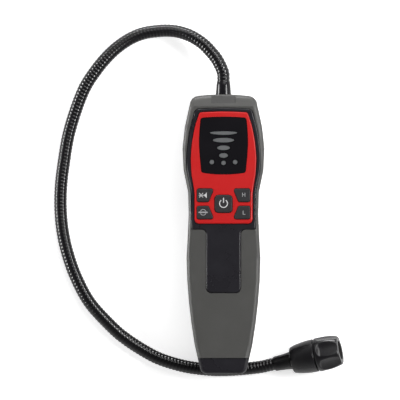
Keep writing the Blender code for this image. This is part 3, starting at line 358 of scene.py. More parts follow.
def add_node(
        tree: bpy.types.NodeTree, kind: str, values: Mapping[str | int, Feed] | None = None,
        **settings: Any) -> bpy.types.Node:
    """Adds a shader node.

    Args:
        tree: The tree that it joins.
        kind: Its type.
        values: What its inputs get.
        settings: Its properties, which are set before its inputs.

    Returns:
        The new node.
    """
    node = tree.nodes.new(kind)
    for key, value in settings.items():
        setattr(node, key, value)
    feed(node, values or {})
    return node


def reckon(tree: bpy.types.NodeTree, operation: str, *operands: Feed) -> bpy.types.NodeSocket:
    """Adds a math node.

    Args:
        tree: The tree that it joins.
        operation: What it works out.
        operands: What its inputs get, in order.

    Returns:
        The output with the result.
    """
    values = dict(enumerate(operands))
    return add_node(tree, "ShaderNodeMath", values, operation=operation).outputs[0]


class Effects:
    """The shader node groups that the finishes share."""

    def __init__(self) -> None:
        """Builds each group once."""
        self.grain = self.make_grain()
        self.wear = self.make_wear()
        # The patch group paints shade into a recess, with a painted shadow line at its edges.
        self.painted_shade = self.make_painted_shade()

    @staticmethod
    def new_group(
            name: str, inputs: Mapping[str, float | Color | None],
            outputs: Sequence[str]) -> tuple[bpy.types.NodeTree, Any, bpy.types.Node]:
        """Makes an empty node group with its sockets.

        Args:
            name: Name of the group.
            inputs: Default of each input: a number, a colour, or None for a vector.
            outputs: Names of the outputs; those that end in Color are colours.

        Returns:
            The group, the sockets that bring in its inputs, and its output node.
        """
        group = bpy.data.node_groups.new(name, "ShaderNodeTree")
        for key, value in inputs.items():
            kind = "NodeSocketFloat" if isinstance(value, float) else "NodeSocketColor"
            kind = "NodeSocketVector" if value is None else kind
            socket = group.interface.new_socket(key, in_out="INPUT", socket_type=kind)
            if isinstance(value, float):
                socket.default_value = value
            elif value is not None:
                socket.default_value = (*value, 1.0)
        for key in outputs:
            kind = "NodeSocketColor" if key.endswith("Color") else "NodeSocketFloat"
            group.interface.new_socket(key, in_out="OUTPUT", socket_type=kind)
        given = add_node(group, "NodeGroupInput").outputs
        return group, given, add_node(group, "NodeGroupOutput")

    def make_grain(self) -> bpy.types.NodeTree:
        """Makes the fine moulded grain: a height from noise and soft cells.

        Returns:
            The group.
        """
        group, given, result = self.new_group(
            "moulded_grain", {"Vector": None, "Scale": 4000.0, "Depth": 1.0}, ("Height",))
        place = {"Vector": given["Vector"], "Scale": given["Scale"]}
        noise = add_node(group, "ShaderNodeTexNoise", {**place, "Detail": 3.0})
        cells = add_node(group, "ShaderNodeTexVoronoi", place, feature="SMOOTH_F1")
        total = reckon(group, "ADD", noise.outputs["Fac"], cells.outputs["Distance"])
        feed(result, {"Height": reckon(group, "MULTIPLY", total, given["Depth"])})
        return group

    def make_wear(self) -> bpy.types.NodeTree:
        """Makes the handling wear: colour and roughness that drift in soft patches.

        Returns:
            The group.
        """
        group, given, result = self.new_group("handling_wear", {
            "Vector": None, "Scale": 60.0, "Base Color": (0.1, 0.1, 0.1),
            "Worn Color": (0.2, 0.2, 0.2), "Amount": 0.3, "Roughness": 0.5, "Spread": 0.1,
        }, ("Color", "Roughness"))
        noise = add_node(group, "ShaderNodeTexNoise", {
            "Vector": given["Vector"], "Scale": given["Scale"], "Detail": 6.0, "Roughness": 0.6})
        patches = add_node(group, "ShaderNodeMapRange", {
            "Value": noise.outputs["Fac"], "From Min": 0.42, "From Max": 0.72,
        }, interpolation_type="SMOOTHSTEP")
        amount = reckon(group, "MULTIPLY", patches.outputs["Result"], given["Amount"])
        mix = add_node(group, "ShaderNodeMix", {
            "Factor": amount, "A": given["Base Color"], "B": given["Worn Color"],
        }, data_type="RGBA")
        centred = reckon(group, "SUBTRACT", noise.outputs["Fac"], 0.5)
        drift = reckon(group, "MULTIPLY_ADD", centred, given["Spread"], given["Roughness"])
        feed(result, {"Color": mix.outputs["Result"], "Roughness": drift})
        return group

    def make_painted_shade(self) -> bpy.types.NodeTree:
        """Makes painted shade for a recess that is open at its far end: darker inside, with a
        painted shadow line along its edges.

        Returns:
            The group.
        """
        group, given, result = self.new_group("painted_recess_shade", {
            "Vector": None, "Base Color": (0.1, 0.1, 0.1), "Half Width": 0.01, "Low Edge": 0.0,
            "Base Height": 0.0, "Outline": 0.0004, "Tone": 0.46, "Line Tone": 0.45}, ("Color",))
        split = add_node(group, "ShaderNodeSeparateXYZ", {"Vector": given["Vector"]})
        x, y, z = split.outputs
        side = reckon(group, "SUBTRACT", given["Half Width"], reckon(group, "ABSOLUTE", x))
        above_edge = reckon(group, "SUBTRACT", y, given["Low Edge"])
        depth = reckon(group, "MINIMUM", side, above_edge)
        span = {"From Min": 0.0, "From Max": given["Outline"]}
        inside = add_node(group, "ShaderNodeMapRange", {"Value": depth, **span})
        edge = add_node(group, "ShaderNodeMapRange", {
            "Value": reckon(group, "ABSOLUTE", depth), **span, "To Min": 1.0, "To Max": 0.0})
        # Painted shade fills the recess, and a painted shadow line runs along its edges; only the
        # part above the base height gets them.
        shade_tone = reckon(group, "MULTIPLY", inside.outputs["Result"], given["Tone"])
        line = reckon(group, "MULTIPLY", edge.outputs["Result"], given["Line Tone"])
        above_base = reckon(group, "GREATER_THAN", z, given["Base Height"])
        shade_amount = reckon(group, "MULTIPLY", reckon(group, "ADD", shade_tone, line), above_base)
        mix = add_node(group, "ShaderNodeMix", {
            "Factor": shade_amount, "A": given["Base Color"], "B": BLACK}, data_type="RGBA")
        feed(result, {"Color": mix.outputs["Result"]})
        return group


@dataclass(frozen=True)
class PaintedShade:
    """Where painted shade darkens a recess that is open at its far end.

    Attributes:
        half_width: Half its width, across X.
        low_edge: Its near edge, in Y.
        base_height: Height that it lies above.
    """

    half_width: float
    low_edge: float
    base_height: float


@dataclass(frozen=True)
class Finish:
    """A moulded, rubber or metal finish.

    Attributes:
        slot: The record's slot that it dresses.
        color: Its colour.
        worn: Its colour where hands have rubbed it.
        roughness: Its roughness.
        spread: How far the roughness drifts.
        grain: Grains across a metre.
        depth: Depth of the grain in metres.
        amount: Share of the worn colour in the rubbed patches.
        patches: Patches across a metre.
        metallic: 1 for metal.
        coat: Weight of a clear coat.
        coat_roughness: Roughness of the coat.
        specular: Strength of the reflection.
        painted_shade: Painted shade on a recess, darker inside with a painted shadow line at its
            edges, if it has one.
    """

    slot: Slot
    color: Color
    worn: Color
    roughness: float
    spread: float = 0.10
    grain: float = 4000.0
    depth: float = 0.00004
    amount: float = 0.35
    patches: float = 60.0
    metallic: float = 0.0
    coat: float = 0.0
    coat_roughness: float = 0.08
    specular: float = 0.5
    painted_shade: PaintedShade | None = None

    def build(self, effects: Effects, name: str | None = None) -> bpy.types.Material:
        """Makes the material.

        Args:
            effects: The shared node groups.
            name: Name of the material, if not the slot's.

        Returns:
            The new material.
        """
        material = bpy.data.materials.new(name or self.slot.value)
        material.use_nodes = True
        tree = material.node_tree
        place = add_node(tree, "ShaderNodeTexCoord").outputs["Object"]
        base = (*self.color, 1.0)
        # Painted shade and a painted shadow line darken the recess, if the finish has one.
        if self.painted_shade:
            base = add_node(tree, "ShaderNodeGroup", {
                "Vector": place, "Base Color": base, "Half Width": self.painted_shade.half_width,
                "Low Edge": self.painted_shade.low_edge, "Base Height": self.painted_shade.base_height,
            }, node_tree=effects.painted_shade).outputs["Color"]
        wear = add_node(tree, "ShaderNodeGroup", {
            "Vector": place, "Scale": self.patches, "Base Color": base,
            "Worn Color": (*self.worn, 1.0), "Amount": self.amount,
            "Roughness": self.roughness, "Spread": self.spread,
        }, node_tree=effects.wear)
        grain = add_node(tree, "ShaderNodeGroup", {
            "Vector": place, "Scale": self.grain, "Depth": 1.0,
        }, node_tree=effects.grain)
        bump = add_node(tree, "ShaderNodeBump", {
            "Distance": self.depth, "Height": grain.outputs["Height"]})
        feed(tree.nodes["Principled BSDF"], {
            "Base Color": wear.outputs["Color"], "Roughness": wear.outputs["Roughness"],
            "Normal": bump.outputs["Normal"], "Metallic": self.metallic,
            "Coat Weight": self.coat, "Coat Roughness": self.coat_roughness,
            "Specular IOR Level": self.specular})
        return material


FINISHES = (
    Finish(Slot.BLACK, (0.0125, 0.0118, 0.0150), (0.022, 0.021, 0.026), 0.28,
           depth=0.00002, specular=0.4),
    # The grey's recessed pad under the boot gets painted shade, with a painted shadow line at its
    # edges.
    Finish(Slot.GREY, (0.0545, 0.0540, 0.0510), (0.066, 0.065, 0.062), 0.42,
           grain=5200.0, depth=0.00005, painted_shade=PaintedShade(0.0076, 0.0830, 0.0335)),
    Finish(Slot.RED, (0.4750, 0.0120, 0.0125), (0.505, 0.020, 0.019), 0.36,
           depth=0.00002, specular=0.28),
    Finish(Slot.WINDOW, (0.0045, 0.0040, 0.0055), (0.008, 0.007, 0.009), 0.12,
           spread=0.05, depth=0.000002, coat=0.5, specular=0.35),
    Finish(Slot.PIPE, (0.1120, 0.1160, 0.1190), (0.132, 0.136, 0.139), 0.35, depth=0.00001),
    Finish(Slot.KEY, (0.0165, 0.0160, 0.0178), (0.024, 0.023, 0.026), 0.58,
           depth=0.00003, specular=0.35),
    Finish(Slot.NECK, (0.0040, 0.0036, 0.0044), (0.007, 0.007, 0.008), 0.18, depth=0.000004),
    Finish(Slot.HEAD, (0.0080, 0.0076, 0.0088), (0.013, 0.013, 0.014), 0.22, depth=0.00001),
    Finish(Slot.BOARD, (0.0120, 0.0900, 0.0350), (0.020, 0.130, 0.055), 0.35, depth=0.00002),
    Finish(Slot.STEEL, (0.6000, 0.6000, 0.5800), (0.500, 0.495, 0.470), 0.28,
           depth=0.000004, metallic=1.0),
    Finish(Slot.CELL, (0.1200, 0.1200, 0.1300), (0.160, 0.160, 0.170), 0.30, depth=0.000004),
    Finish(Slot.FILTER, (0.6600, 0.6500, 0.6200), (0.560, 0.540, 0.500), 0.85,
           grain=9000.0, depth=0.00008),
)
PRINT = Finish(
    Slot.KEY, (0.5200, 0.5250, 0.5300), (0.420, 0.420, 0.420), 0.50, depth=0.00001)
DIM_PRINT = Finish(
    Slot.KEY, (0.2900, 0.2930, 0.3000), (0.230, 0.232, 0.240), 0.50, depth=0.00001)
GLOSS = Finish(
    Slot.NECK, (0.0065, 0.0060, 0.0075), (0.010, 0.010, 0.012), 0.20,
    spread=0.04, depth=0.000003, specular=0.30)


class Finishes:
    """All the finishes of the detector, built once."""

    def __init__(self) -> None:
        """Builds the shared effects and each material."""
        effects = Effects()
        self.by_slot = {finish.slot: finish.build(effects) for finish in FINISHES}
        self.print = PRINT.build(effects, "printed_sign")
        self.dim_print = DIM_PRINT.build(effects, "faint_sign")
        self.gloss = GLOSS.build(effects, "polished_boot")

    def dress(self, obj: bpy.types.Object, slot: Slot) -> None:
        """Gives an object the finish of a slot."""
        obj.data.materials.clear()
        obj.data.materials.append(self.by_slot[slot])

    def dress_frame(self) -> None:
        """Gives each CAD node the finish of its slot in the record."""
        for part in frame["record"]["subparts"]:
            node = frame["nodes"][part["node"]]
            slot = Slot(part["material_slot"])
            for holder in node.material_slots:
                holder.material = self.by_slot[slot]
            if not node.material_slots:
                self.dress(node, slot)
            LOG.info("%s is dressed in %s", part["node"], slot.value)


@dataclass
class Shells:
    """The moulded shells, the face plate and the battery door, with smooth curves."""

    angle: float = 32.0
    merge: float = 1e-6
    flat_angle: float = 0.2
    flat_weight: int = 70
    pieces: tuple = (
        ("grip_skin", "grip_overmould", ROOT_BODY, Slot.GREY),
        ("front_shell", "front_housing", ROOT_BODY, Slot.BLACK),
        ("rear_shell", "rear_housing", ROOT_BODY, Slot.BLACK),
        ("red_face_plate", "face_bezel", ROOT_BODY, Slot.RED),
        ("door_panel", "battery_door", DOOR_BODY, Slot.BLACK),
    )

    def smoothed(self, name: str, node: str) -> bpy.types.Object:
        """Copies a CAD node, joins its loose triangles and shades its curves smooth.

        Args:
            name: Name of the piece.
            node: The CAD node, which stays as it is.

        Returns:
            The new object.
        """
        source = frame["nodes"][node]
        obj = new_object(name, source.data.copy())
        obj.data.name = name
        settle(obj, source.matrix_world)
        with editing(obj):
            bpy.ops.mesh.select_all(action="SELECT")
            bpy.ops.mesh.remove_doubles(threshold=self.merge)
            bpy.ops.mesh.dissolve_limited(angle_limit=math.radians(self.flat_angle))
        smooth(obj, self.angle)
        normals = obj.modifiers.new("flats_stay_flat", "WEIGHTED_NORMAL")
        normals.mode = "FACE_AREA"
        normals.weight = self.flat_weight
        normals.keep_sharp = True
        apply_modifiers(obj)
        return obj

    def build(self, finishes: Finishes) -> None:
        """Makes each piece from its solid.

        Args:
            finishes: The materials.
        """
        for name, node, body, slot in self.pieces:
            piece = self.smoothed(name, node)
            finishes.dress(piece, slot)
            ride(piece, body, slot, node)


@dataclass
class Neck:
    """The boot and the ribbed flexible neck.

    The boot's collar is measured from its inner end, and its taper in Y.
    """

    boot_end_y: float = 0.0970
    axis_z: float = 0.0180
    lead: float = 0.0030
    run_in: float = 0.0100
    sleeve_length: float = 0.0116
    radius: float = 0.0041
    laid_z: float = 0.00415
    boot_tuck: float = 0.0016
    sleeve_tuck: float = 0.0012
    span_steps: int = 12
    round_steps: int = 6
    rib_count: int = 180
    rib_steps: int = 8
    rib_depth: float = 0.075
    boot_steps: int = 64
    boot_round: float = 0.0003
    boot_collar: tuple = (
        (0.0075, 0.0),
        (0.0075, 0.0030),
        (0.0049, 0.0032),
    )
    boot_taper: tuple = (
        (0.0049, 0.0884),
        (0.0048, 0.0894),
        (0.0045, 0.0940),
        (0.0042, 0.0962),
        (0.0039, 0.0970),
    )
    route: tuple = (
        (-0.0004, 0.1028, 0.0138),
        (-0.0025, 0.1078, 0.0130),
        (-0.0057, 0.1129, 0.0118),
        (-0.0124, 0.1202, 0.0099),
        (-0.0200, 0.1253, 0.0080),
        (-0.0276, 0.1281, 0.0062),
        (-0.0352, 0.1291, 0.0046),
        (-0.0429, 0.1287, 0.0031),
        (-0.0505, 0.1275, 0.0019),
        (-0.0581, 0.1246, 0.0010),
        (-0.0657, 0.1199, 0.0004),
        (-0.0733, 0.1132, 0.0001),
        (-0.0810, 0.1040, 0.0),
        (-0.0883, 0.0926, 0.0),
        (-0.0943, 0.0773, 0.0),
        (-0.0987, 0.0621, 0.0),
        (-0.1013, 0.0468, 0.0),
        (-0.1032, 0.0316, 0.0),
        (-0.1036, 0.0164, 0.0),
        (-0.1022, 0.0011, 0.0),
        (-0.0987, -0.0141, 0.0),
        (-0.0930, -0.0294, 0.0),
        (-0.0845, -0.0446, 0.0),
        (-0.0705, -0.0598, 0.0),
        (-0.0613, -0.0675, 0.0),
        (-0.0495, -0.0751, 0.0),
        (-0.0391, -0.0802, 0.0),
        (-0.0238, -0.0846, 0.0),
        (-0.0086, -0.0865, 0.0),
        (0.0010, -0.0867, 0.0),
        (0.0105, -0.0862, 0.0002),
    )

    def center_line(self, head: Matrix) -> list[Vector]:
        """Returns the neck's centre line.

        Args:
            head: Place of the sensor head.

        Returns:
            Points from the boot to the sensor head's sleeve.
        """
        leads = (-self.boot_tuck, self.lead)
        straight = [Vector((0, self.boot_end_y + lead, self.axis_z)) for lead in leads]
        laid = [Vector((x, y, self.laid_z + rise)) for x, y, rise in self.route]
        leads = (self.run_in, self.lead, -self.sleeve_tuck)
        arrival = [head @ Vector((0, 0, -self.sleeve_length - lead)) for lead in leads]
        return smooth_through([*straight, *laid, *arrival], self.span_steps)

    def build(self, finishes: Finishes, head: Matrix) -> None:
        """Makes the ribbed neck.

        Args:
            finishes: The materials.
            head: Place of the sensor head.
        """
        count = self.rib_count * self.rib_steps + 1
        points = spaced(self.center_line(head), count)
        curve = bpy.data.curves.new("ribbed_neck", "CURVE")
        curve.dimensions = "3D"
        curve.bevel_depth = self.radius
        curve.bevel_resolution = self.round_steps
        curve.use_fill_caps = True
        spline = curve.splines.new("POLY")
        spline.points.add(count - 1)
        for index, (point, place) in enumerate(zip(spline.points, points)):
            across = 2 * (index % self.rib_steps) / self.rib_steps - 1
            point.co = (*place, 1.0)
            point.radius = 1 - self.rib_depth * across ** 2
        neck = new_object("ribbed_neck", curve)
        finishes.dress(neck, Slot.NECK)
        ride(neck, ROOT_BODY, Slot.NECK, "gooseneck")

    def build_boot(self, finishes: Finishes) -> None:
        """Makes the glossy tapered boot.

        Args:
            finishes: The materials.
        """
        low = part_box("neck_boot")[0].y
        rings = [*((radius, low + rise) for radius, rise in self.boot_collar), *self.boot_taper]
        boot = turned("glossy_boot", rings, self.boot_steps)
        soften(boot, self.boot_round, segments=3)
        upright = Matrix.Rotation(-math.pi / 2, 4, "X")
        settle(boot, Matrix.Translation((0, 0, self.axis_z)) @ upright)
        smooth(boot)
        boot.data.materials.append(finishes.gloss)
        ride(boot, ROOT_BODY, Slot.NECK, "neck_boot")


@dataclass
class SensorHead:
    """The sleeve, barrel housing and fluted cap at the neck's end.

    All of it is measured along the head's axis. The sides are pairs of height and radius, and
    the sleeve is rings of radius and height.
    """

    x: float = 0.0436
    y: float = -0.0805
    turn: float = math.radians(12.0)
    tilt: float = math.radians(10.0)
    rest_gap: float = 0.00005
    gap: float = 0.0003
    seam: float = 0.0155
    seam_width: float = 0.0009
    length: float = 0.0318
    spigot_radius: float = 0.0086
    spigot_length: float = 0.0048
    bore: float = 0.0072
    floor: float = 0.0030
    seal_depth: float = 0.0008
    seal_outer: float = 0.0101
    lip: float = 0.0025
    mouth: float = 0.0060
    mouth_edge: float = 0.0002
    flutes: int = 6
    flute_turn: float = math.radians(43.0)
    flute_radius: float = 0.0200
    flute_rear: tuple = (0.0174, 0.0098)
    flute_front: tuple = (0.0306, 0.0086)
    flute_end: float = 0.0030
    flute_blend: float = 0.00014
    sleeve_steps: int = 64
    barrel_steps: int = 96
    barrel_spans: int = 4
    cap_steps: int = 240
    cap_spans: int = 8
    cap_angle: float = 40.0
    rest_side: tuple = (
        (0.0, 0.0076),
        (0.0009, 0.0084),
        (0.0035, 0.0092),
        (0.0068, 0.0098),
    )
    sleeve: tuple = (
        (0.0040, -0.0116),
        (0.0045, -0.0114),
        (0.0047, -0.0108),
        (0.0048, -0.0086),
        (0.0051, -0.0050),
        (0.0056, -0.0012),
        (0.0057, -0.0008),
        (0.0056, -0.0003),
    )
    barrel: tuple = (
        (0.0000, 0.0074),
        (0.0002, 0.0079),
        (0.0009, 0.0084),
        (0.0035, 0.0092),
        (0.0068, 0.0098),
        (0.0105, 0.0103),
        (0.0148, 0.01046),
        (0.0153, 0.01040),
        (0.0155, 0.0102),
    )
    cap_side: tuple = (
        (0.0164, 0.0103),
        (0.0166, 0.0105),
        (0.0171, 0.0107),
        (0.0188, 0.01083),
        (0.0205, 0.0109),
        (0.0240, 0.0109),
        (0.0275, 0.0104),
        (0.0304, 0.0096),
        (0.0313, 0.0092),
        (0.0317, 0.0088),
        (0.0318, 0.0084),
    )

    def place(self) -> Matrix:
        """Finds where the head lies, with the barrel resting on the surface.

        Returns:
            The matrix that takes Z to the head's axis.
        """
        reach = max(
            r * math.cos(self.tilt) - s * math.sin(self.tilt) for s, r in self.rest_side)
        lean = Matrix.Rotation(math.pi / 2 - self.tilt, 4, "Y")
        turn = Matrix.Rotation(self.turn, 4, "Z") @ lean
        return Matrix.Translation((self.x, self.y, reach + self.rest_gap)) @ turn

    @staticmethod
    def curve(side: Sequence[Ring], steps: int) -> list[Ring]:
        """Returns fine pairs of radius and height through pairs of height and radius."""
        points = smooth_through([Vector((r, s, 0)) for s, r in side], steps)
        return [(point.x, point.y) for point in points]

    def flute_depth(self, radius: float, angle: float, s: float) -> float:
        """Finds the radius of the cap's side where flutes are cut into it.

        Args:
            radius: Radius of the cap's side before the cut.
            angle: Angle about the axis.
            s: Distance along the axis.

        Returns:
            The radius after the cut.
        """
        spacing = 2 * math.pi / self.flutes
        offset = (angle - self.flute_turn + spacing / 2) % spacing - spacing / 2
        (rear_s, rear_r), (front_s, front_r) = self.flute_rear, self.flute_front
        share = (s - rear_s) / (front_s - rear_s)
        center = rear_r + (front_r - rear_r) * share + self.flute_radius
        short = max(self.flute_end + rear_s - s, 0.0)
        if short > self.flute_end:
            return radius
        hollow = self.flute_radius - self.flute_end + math.sqrt(self.flute_end ** 2 - short ** 2)
        reach = center * math.sin(offset)
        if abs(reach) > hollow:
            return radius
        cut = center * math.cos(offset) - math.sqrt(hollow ** 2 - reach ** 2)
        near = min(radius, cut)
        pull = sum(math.exp((near - side) / self.flute_blend) for side in (radius, cut))
        return near - self.flute_blend * math.log(pull)

    def build_barrel(self, finishes: Finishes) -> None:
        """Makes the smooth barrel housing with the spigot that the cap screws on.

        Args:
            finishes: The materials.
        """
        spigot_end = self.seam + self.spigot_length
        seal_floor = self.seam - self.seal_depth
        rings = [
            *self.curve(self.barrel, self.barrel_spans),
            (self.seal_outer, self.seam),
            (self.seal_outer, seal_floor),
            (self.spigot_radius, seal_floor),
            (self.spigot_radius, spigot_end),
            (self.bore, spigot_end),
            (self.bore, self.floor),
        ]
        barrel = turned("barrel_housing", rings, self.barrel_steps)
        settle(barrel, self.place())
        smooth(barrel)
        finishes.dress(barrel, Slot.HEAD)
        ride(barrel, ROOT_BODY, Slot.HEAD, "head_housing")

    def build_cap(self, finishes: Finishes) -> None:
        """Makes the cap, whose flutes are hollowed out of its side.

        Args:
            finishes: The materials.
        """
        spigot_end = self.seam + self.spigot_length
        thread = self.spigot_radius + self.gap
        chamber = self.bore + self.gap
        lip = self.length - self.lip
        rings = [
            *self.curve(self.cap_side, self.cap_spans),
            (self.mouth + self.mouth_edge, self.length),
            (self.mouth, self.length - self.mouth_edge),
            (self.mouth, lip),
            (chamber, lip),
            (chamber, spigot_end + self.gap),
            (thread, spigot_end + self.gap),
            (thread, self.seam + self.seam_width),
        ]
        cap = turned("fluted_cap", rings, self.cap_steps, hollow=True)
        for vert in cap.data.vertices:
            x, y, z = vert.co
            radius = math.hypot(x, y)
            inside = thread if z < spigot_end + 2 * self.gap else chamber
            at_rim = z > self.length - self.gap and radius > self.mouth + self.lip / 2
            if radius > inside + self.gap or at_rim:
                share = self.flute_depth(radius, math.atan2(y, x), z) / radius
                vert.co.x *= share
                vert.co.y *= share
        settle(cap, self.place())
        smooth(cap, self.cap_angle)
        finishes.dress(cap, Slot.HEAD)
        ride(cap, CAP_BODY, Slot.HEAD, "sensor_cap")

    def build_sleeve(self, finishes: Finishes) -> None:
        """Makes the tapered sleeve that grips the neck, with a stepped collar at its rear.

        Args:
            finishes: The materials.
        """
        sleeve = turned("strain_sleeve", self.sleeve, self.sleeve_steps)
        settle(sleeve, self.place())
        smooth(sleeve)
        finishes.dress(sleeve, Slot.NECK)
        ride(sleeve, ROOT_BODY, Slot.NECK, "head_sleeve")

    def build(self, finishes: Finishes) -> None:
        """Makes the whole head.

        Args:
            finishes: The materials.
        """
        self.build_sleeve(finishes)
        self.build_barrel(finishes)
        self.build_cap(finishes)


@dataclass
class Signs:
    """The signs printed on the keys, as thin raised ink."""

    finishes: Finishes
    ink: float = 0.00006
    thin: float = 0.0004
    plain: float = 0.00045
    bold: float = 0.0006
    heavy: float = 0.0009
    power_center: Point = (0.0, 0.0196)
    mute_center: Point = (-0.0129, 0.0244)
    alert_center: Point = (-0.0129, 0.0136)
    high_center: Point = (0.0128, 0.0247)
    low_center: Point = (0.0130, 0.0134)
    horn: tuple = (
        (0.0004, -0.0003),
        (0.0012, -0.0007),
        (0.0023, -0.0019),
        (0.0023, 0.0019),
        (0.0012, 0.0007),
        (0.0004, 0.0003),
    )

    def __post_init__(self) -> None:
        """Keeps the height of the keys' tops."""
        self.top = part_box("key_power")[1].z

    @staticmethod
    def stroke(start: Point, end: Point, width: float) -> list[Point]:
        """Returns the outline of a straight stroke with rounded ends.

        Args:
            start: Where it starts.
            end: Where it ends.
            width: Its width.

        Returns:
            The outline.
        """
        angle = math.atan2(end[1] - start[1], end[0] - start[0])
        points = []
        for (x, y), base in ((end, -math.pi / 2), (start, math.pi / 2)):
            for step in range(STROKE_END_STEPS + 1):
                turn = angle + base + math.pi * step / STROKE_END_STEPS
                points.append((x + width / 2 * math.cos(turn), y + width / 2 * math.sin(turn)))
        return points

    @staticmethod
    def band(
            center: Point, radius: float, width: float, start: float, end: float,
            steps: int) -> list[Point]:
        """Returns the outline of a curved band.

        Args:
            center: Centre of its arc.
            radius: Radius of its middle line.
            width: Its width.
            start: Angle where it starts, in degrees.
            end: Angle where it ends, in degrees.
            steps: Steps along it.

        Returns:
            The outline.
        """
        angles = [math.radians(start + (end - start) * step / steps) for step in range(steps + 1)]
        there = [(radius + width / 2, angle) for angle in angles]
        back = [(radius - width / 2, angle) for angle in reversed(angles)]
        x, y = center
        return [(x + reach * math.cos(angle), y + reach * math.sin(angle))
                for reach, angle in there + back]

    def stamp(self, body: str, outlines: Sequence[Sequence[Point]], center: Point,
              material: bpy.types.Material) -> None:
        """Makes one sign of several outlines and puts it on its key.

        Args:
            body: The key's body, which has the key's name.
            outlines: Closed outlines about the sign's centre.
            center: Where the sign's centre is.
            material: Material of the print.
        """
        name = body.replace("key", "sign")
        pieces = []
        for outline in outlines:
            placed = [(x + center[0], y + center[1]) for x, y in outline]
            pieces.append(extruded(name, placed, self.top - self.ink, self.top + self.ink))
        bpy.ops.object.select_all(action="DESELECT")
        for piece in pieces:
            piece.select_set(True)
        sign = pieces[0]
        bpy.context.view_layer.objects.active = sign
        bpy.ops.object.join()
        sign.name = name
        sign.data.materials.clear()
        sign.data.materials.append(material)
        ride(sign, body, Slot.KEY)

    def build(self) -> None:
        """Makes the five signs."""
        stroke, band = self.stroke, self.band
        bright, faint = self.finishes.print, self.finishes.dim_print
        self.stamp("key_power", (
            band((0, -0.0004), 0.0025, self.bold, 125, 415, 28),
            stroke((0, 0.0002), (0, 0.0031), self.bold),
        ), self.power_center, bright)
        self.stamp("key_mute", (
            stroke((-0.0024, 0.0013), (-0.0002, -0.0013), self.plain),
            stroke((-0.0024, -0.0013), (-0.0002, 0.0013), self.plain),
            stroke((-0.0027, 0.0), (0.0006, 0.0), self.thin),
            self.horn,
        ), self.mute_center, bright)
        self.stamp("key_alert", (
            band((0, 0), 0.0018, self.plain, 20, 160, 14),
            band((0, 0), 0.0018, self.plain, 200, 340, 14),
            stroke((-0.0026, 0.0), (0.0026, 0.0), self.heavy),
        ), self.alert_center, faint)
        self.stamp("key_high", (
            stroke((-0.0008, -0.0011), (-0.0008, 0.0011), self.plain),
            stroke((0.0008, -0.0011), (0.0008, 0.0011), self.plain),
            stroke((-0.0006, 0.0), (0.0006, 0.0), self.plain),
        ), self.high_center, faint)
        self.stamp("key_low", (
            stroke((-0.0006, -0.0011), (-0.0006, 0.0011), self.plain),
            stroke((-0.0004, -0.0011), (0.0007, -0.0011), self.plain),
        ), self.low_center, faint)


@dataclass(frozen=True)
class Lamp:
    """A rectangular soft box.

    Attributes:
        name: Its name.
        place: Where it hangs.
        size: Its width and height.
        power: Its power in watts.
    """

    name: str
    place: tuple[float, float, float]
    size: Point
    power: float

    def build(self, target: Vector) -> None:
        """Hangs the lamp and aims it.

        Args:
            target: What it faces.
        """
        place = Vector(self.place)
        bpy.ops.object.light_add(type="AREA", location=place)
        lamp = named(self.name)
        lamp.data.shape = "RECTANGLE"
        lamp.data.size, lamp.data.size_y = self.size
        lamp.data.energy = self.power
        lamp.rotation_mode = "QUATERNION"
        lamp.rotation_quaternion = (target - place).to_track_quat("-Z", "Y")


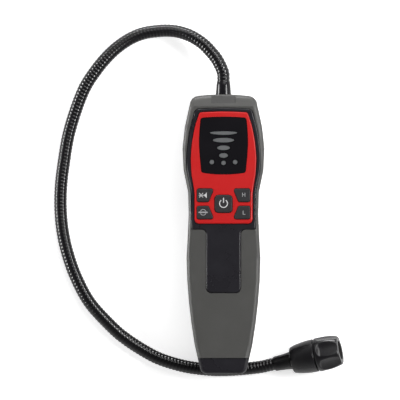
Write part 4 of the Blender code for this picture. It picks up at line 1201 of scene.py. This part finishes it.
@dataclass
class Stage:
    """The pale floor, the studio lamps and the camera above."""

    center_x: float = -0.0149
    center_y: float = 0.0214
    view_width: float = 0.2540
    focus_z: float = 0.0200
    distance: float = 8.0
    sensor: float = 36.0
    view_end: float = 20.0
    floor_size: float = 12.0
    floor_z: float = -0.0002
    floor_paint: tuple = (0.80, 0.80, 0.80, 1.0)
    floor_glow: float = 0.64
    low_sky: Point = (0.10, 0.66)
    high_sky: Point = (0.85, 0.09)
    target_z: float = 0.02
    lamps: tuple = (
        Lamp("left_strip", (-1.30, 0.15, 0.16), (0.50, 0.45), 17.0),
        Lamp("right_strip", (0.95, 0.15, 0.85), (0.46, 0.30), 13.0),
        Lamp("far_strip", (-0.15, 1.35, 0.12), (0.60, 0.26), 11.0),
        Lamp("slope_box", (0.48, 1.62, 1.80), (1.60, 1.60), 27.0),
    )

    def build_floor(self) -> None:
        """Makes the floor, which is white to the camera and keeps the detector's shadow."""
        bpy.ops.mesh.primitive_plane_add(size=self.floor_size, location=(0, 0, self.floor_z))
        floor = named("studio_floor")
        material = bpy.data.materials.new("studio_floor")
        material.use_nodes = True
        tree = material.node_tree
        tree.nodes.remove(tree.nodes["Principled BSDF"])
        paint = add_node(tree, "ShaderNodeBsdfDiffuse", {"Color": self.floor_paint})
        seen = add_node(tree, "ShaderNodeLightPath").outputs["Is Camera Ray"]
        glow = add_node(tree, "ShaderNodeEmission", {
            "Strength": reckon(tree, "MULTIPLY", seen, self.floor_glow)})
        total = add_node(tree, "ShaderNodeAddShader", {0: paint.outputs[0], 1: glow.outputs[0]})
        feed(tree.nodes["Material Output"], {"Surface": total.outputs[0]})
        floor.data.materials.append(material)
        settle(floor)

    def build_world(self) -> None:
        """Makes the surroundings: white to the camera, brighter at the sides than above."""
        world = bpy.data.worlds.new("studio")
        bpy.context.scene.world = world
        world.use_nodes = True
        tree = world.node_tree
        place = add_node(tree, "ShaderNodeTexCoord").outputs["Generated"]
        height = add_node(tree, "ShaderNodeSeparateXYZ", {"Vector": place}).outputs["Z"]
        (low, low_light), (high, high_light) = self.low_sky, self.high_sky
        fall = add_node(tree, "ShaderNodeMapRange", {
            "Value": height, "From Min": low, "From Max": high, "To Min": low_light,
            "To Max": high_light})
        seen = add_node(tree, "ShaderNodeLightPath").outputs["Is Camera Ray"]
        strength = add_node(tree, "ShaderNodeMix", {
            "Factor": seen, "A": fall.outputs["Result"], "B": 1.0}, data_type="FLOAT")
        feed(tree.nodes["Background"], {
            "Strength": strength.outputs["Result"], "Color": WHITE})

    def build_lamps(self) -> None:
        """Hangs the side strips, the low strip beyond the neck and the box over the sloped end."""
        for lamp in self.lamps:
            lamp.build(Vector((0, 0, self.target_z)))

    def build_camera(self) -> None:
        """Makes the camera straight above, with a long lens."""
        above = (self.center_x, self.center_y, self.distance + self.focus_z)
        bpy.ops.object.camera_add(location=above)
        camera = named("photo_camera")
        camera.data.sensor_width = self.sensor
        camera.data.lens = self.sensor * self.distance / self.view_width
        camera.data.clip_end = self.view_end
        bpy.context.scene.camera = camera

    def build(self) -> None:
        """Makes the whole stage."""
        self.build_camera()
        self.build_floor()
        self.build_world()
        self.build_lamps()
        bpy.context.scene.view_settings.view_transform = "Standard"


def main() -> None:
    """Builds the stage and every visible piece."""
    logging.basicConfig(level=logging.INFO, format="%(message)s")
    bpy.ops.object.select_all(action="DESELECT")
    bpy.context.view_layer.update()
    Stage().build()
    finishes = Finishes()
    finishes.dress_frame()
    Shells().build(finishes)
    head = SensorHead()
    neck = Neck()
    neck.build(finishes, head.place())
    neck.build_boot(finishes)
    head.build(finishes)
    Signs(finishes).build()


if __name__ == "__main__":
    main()
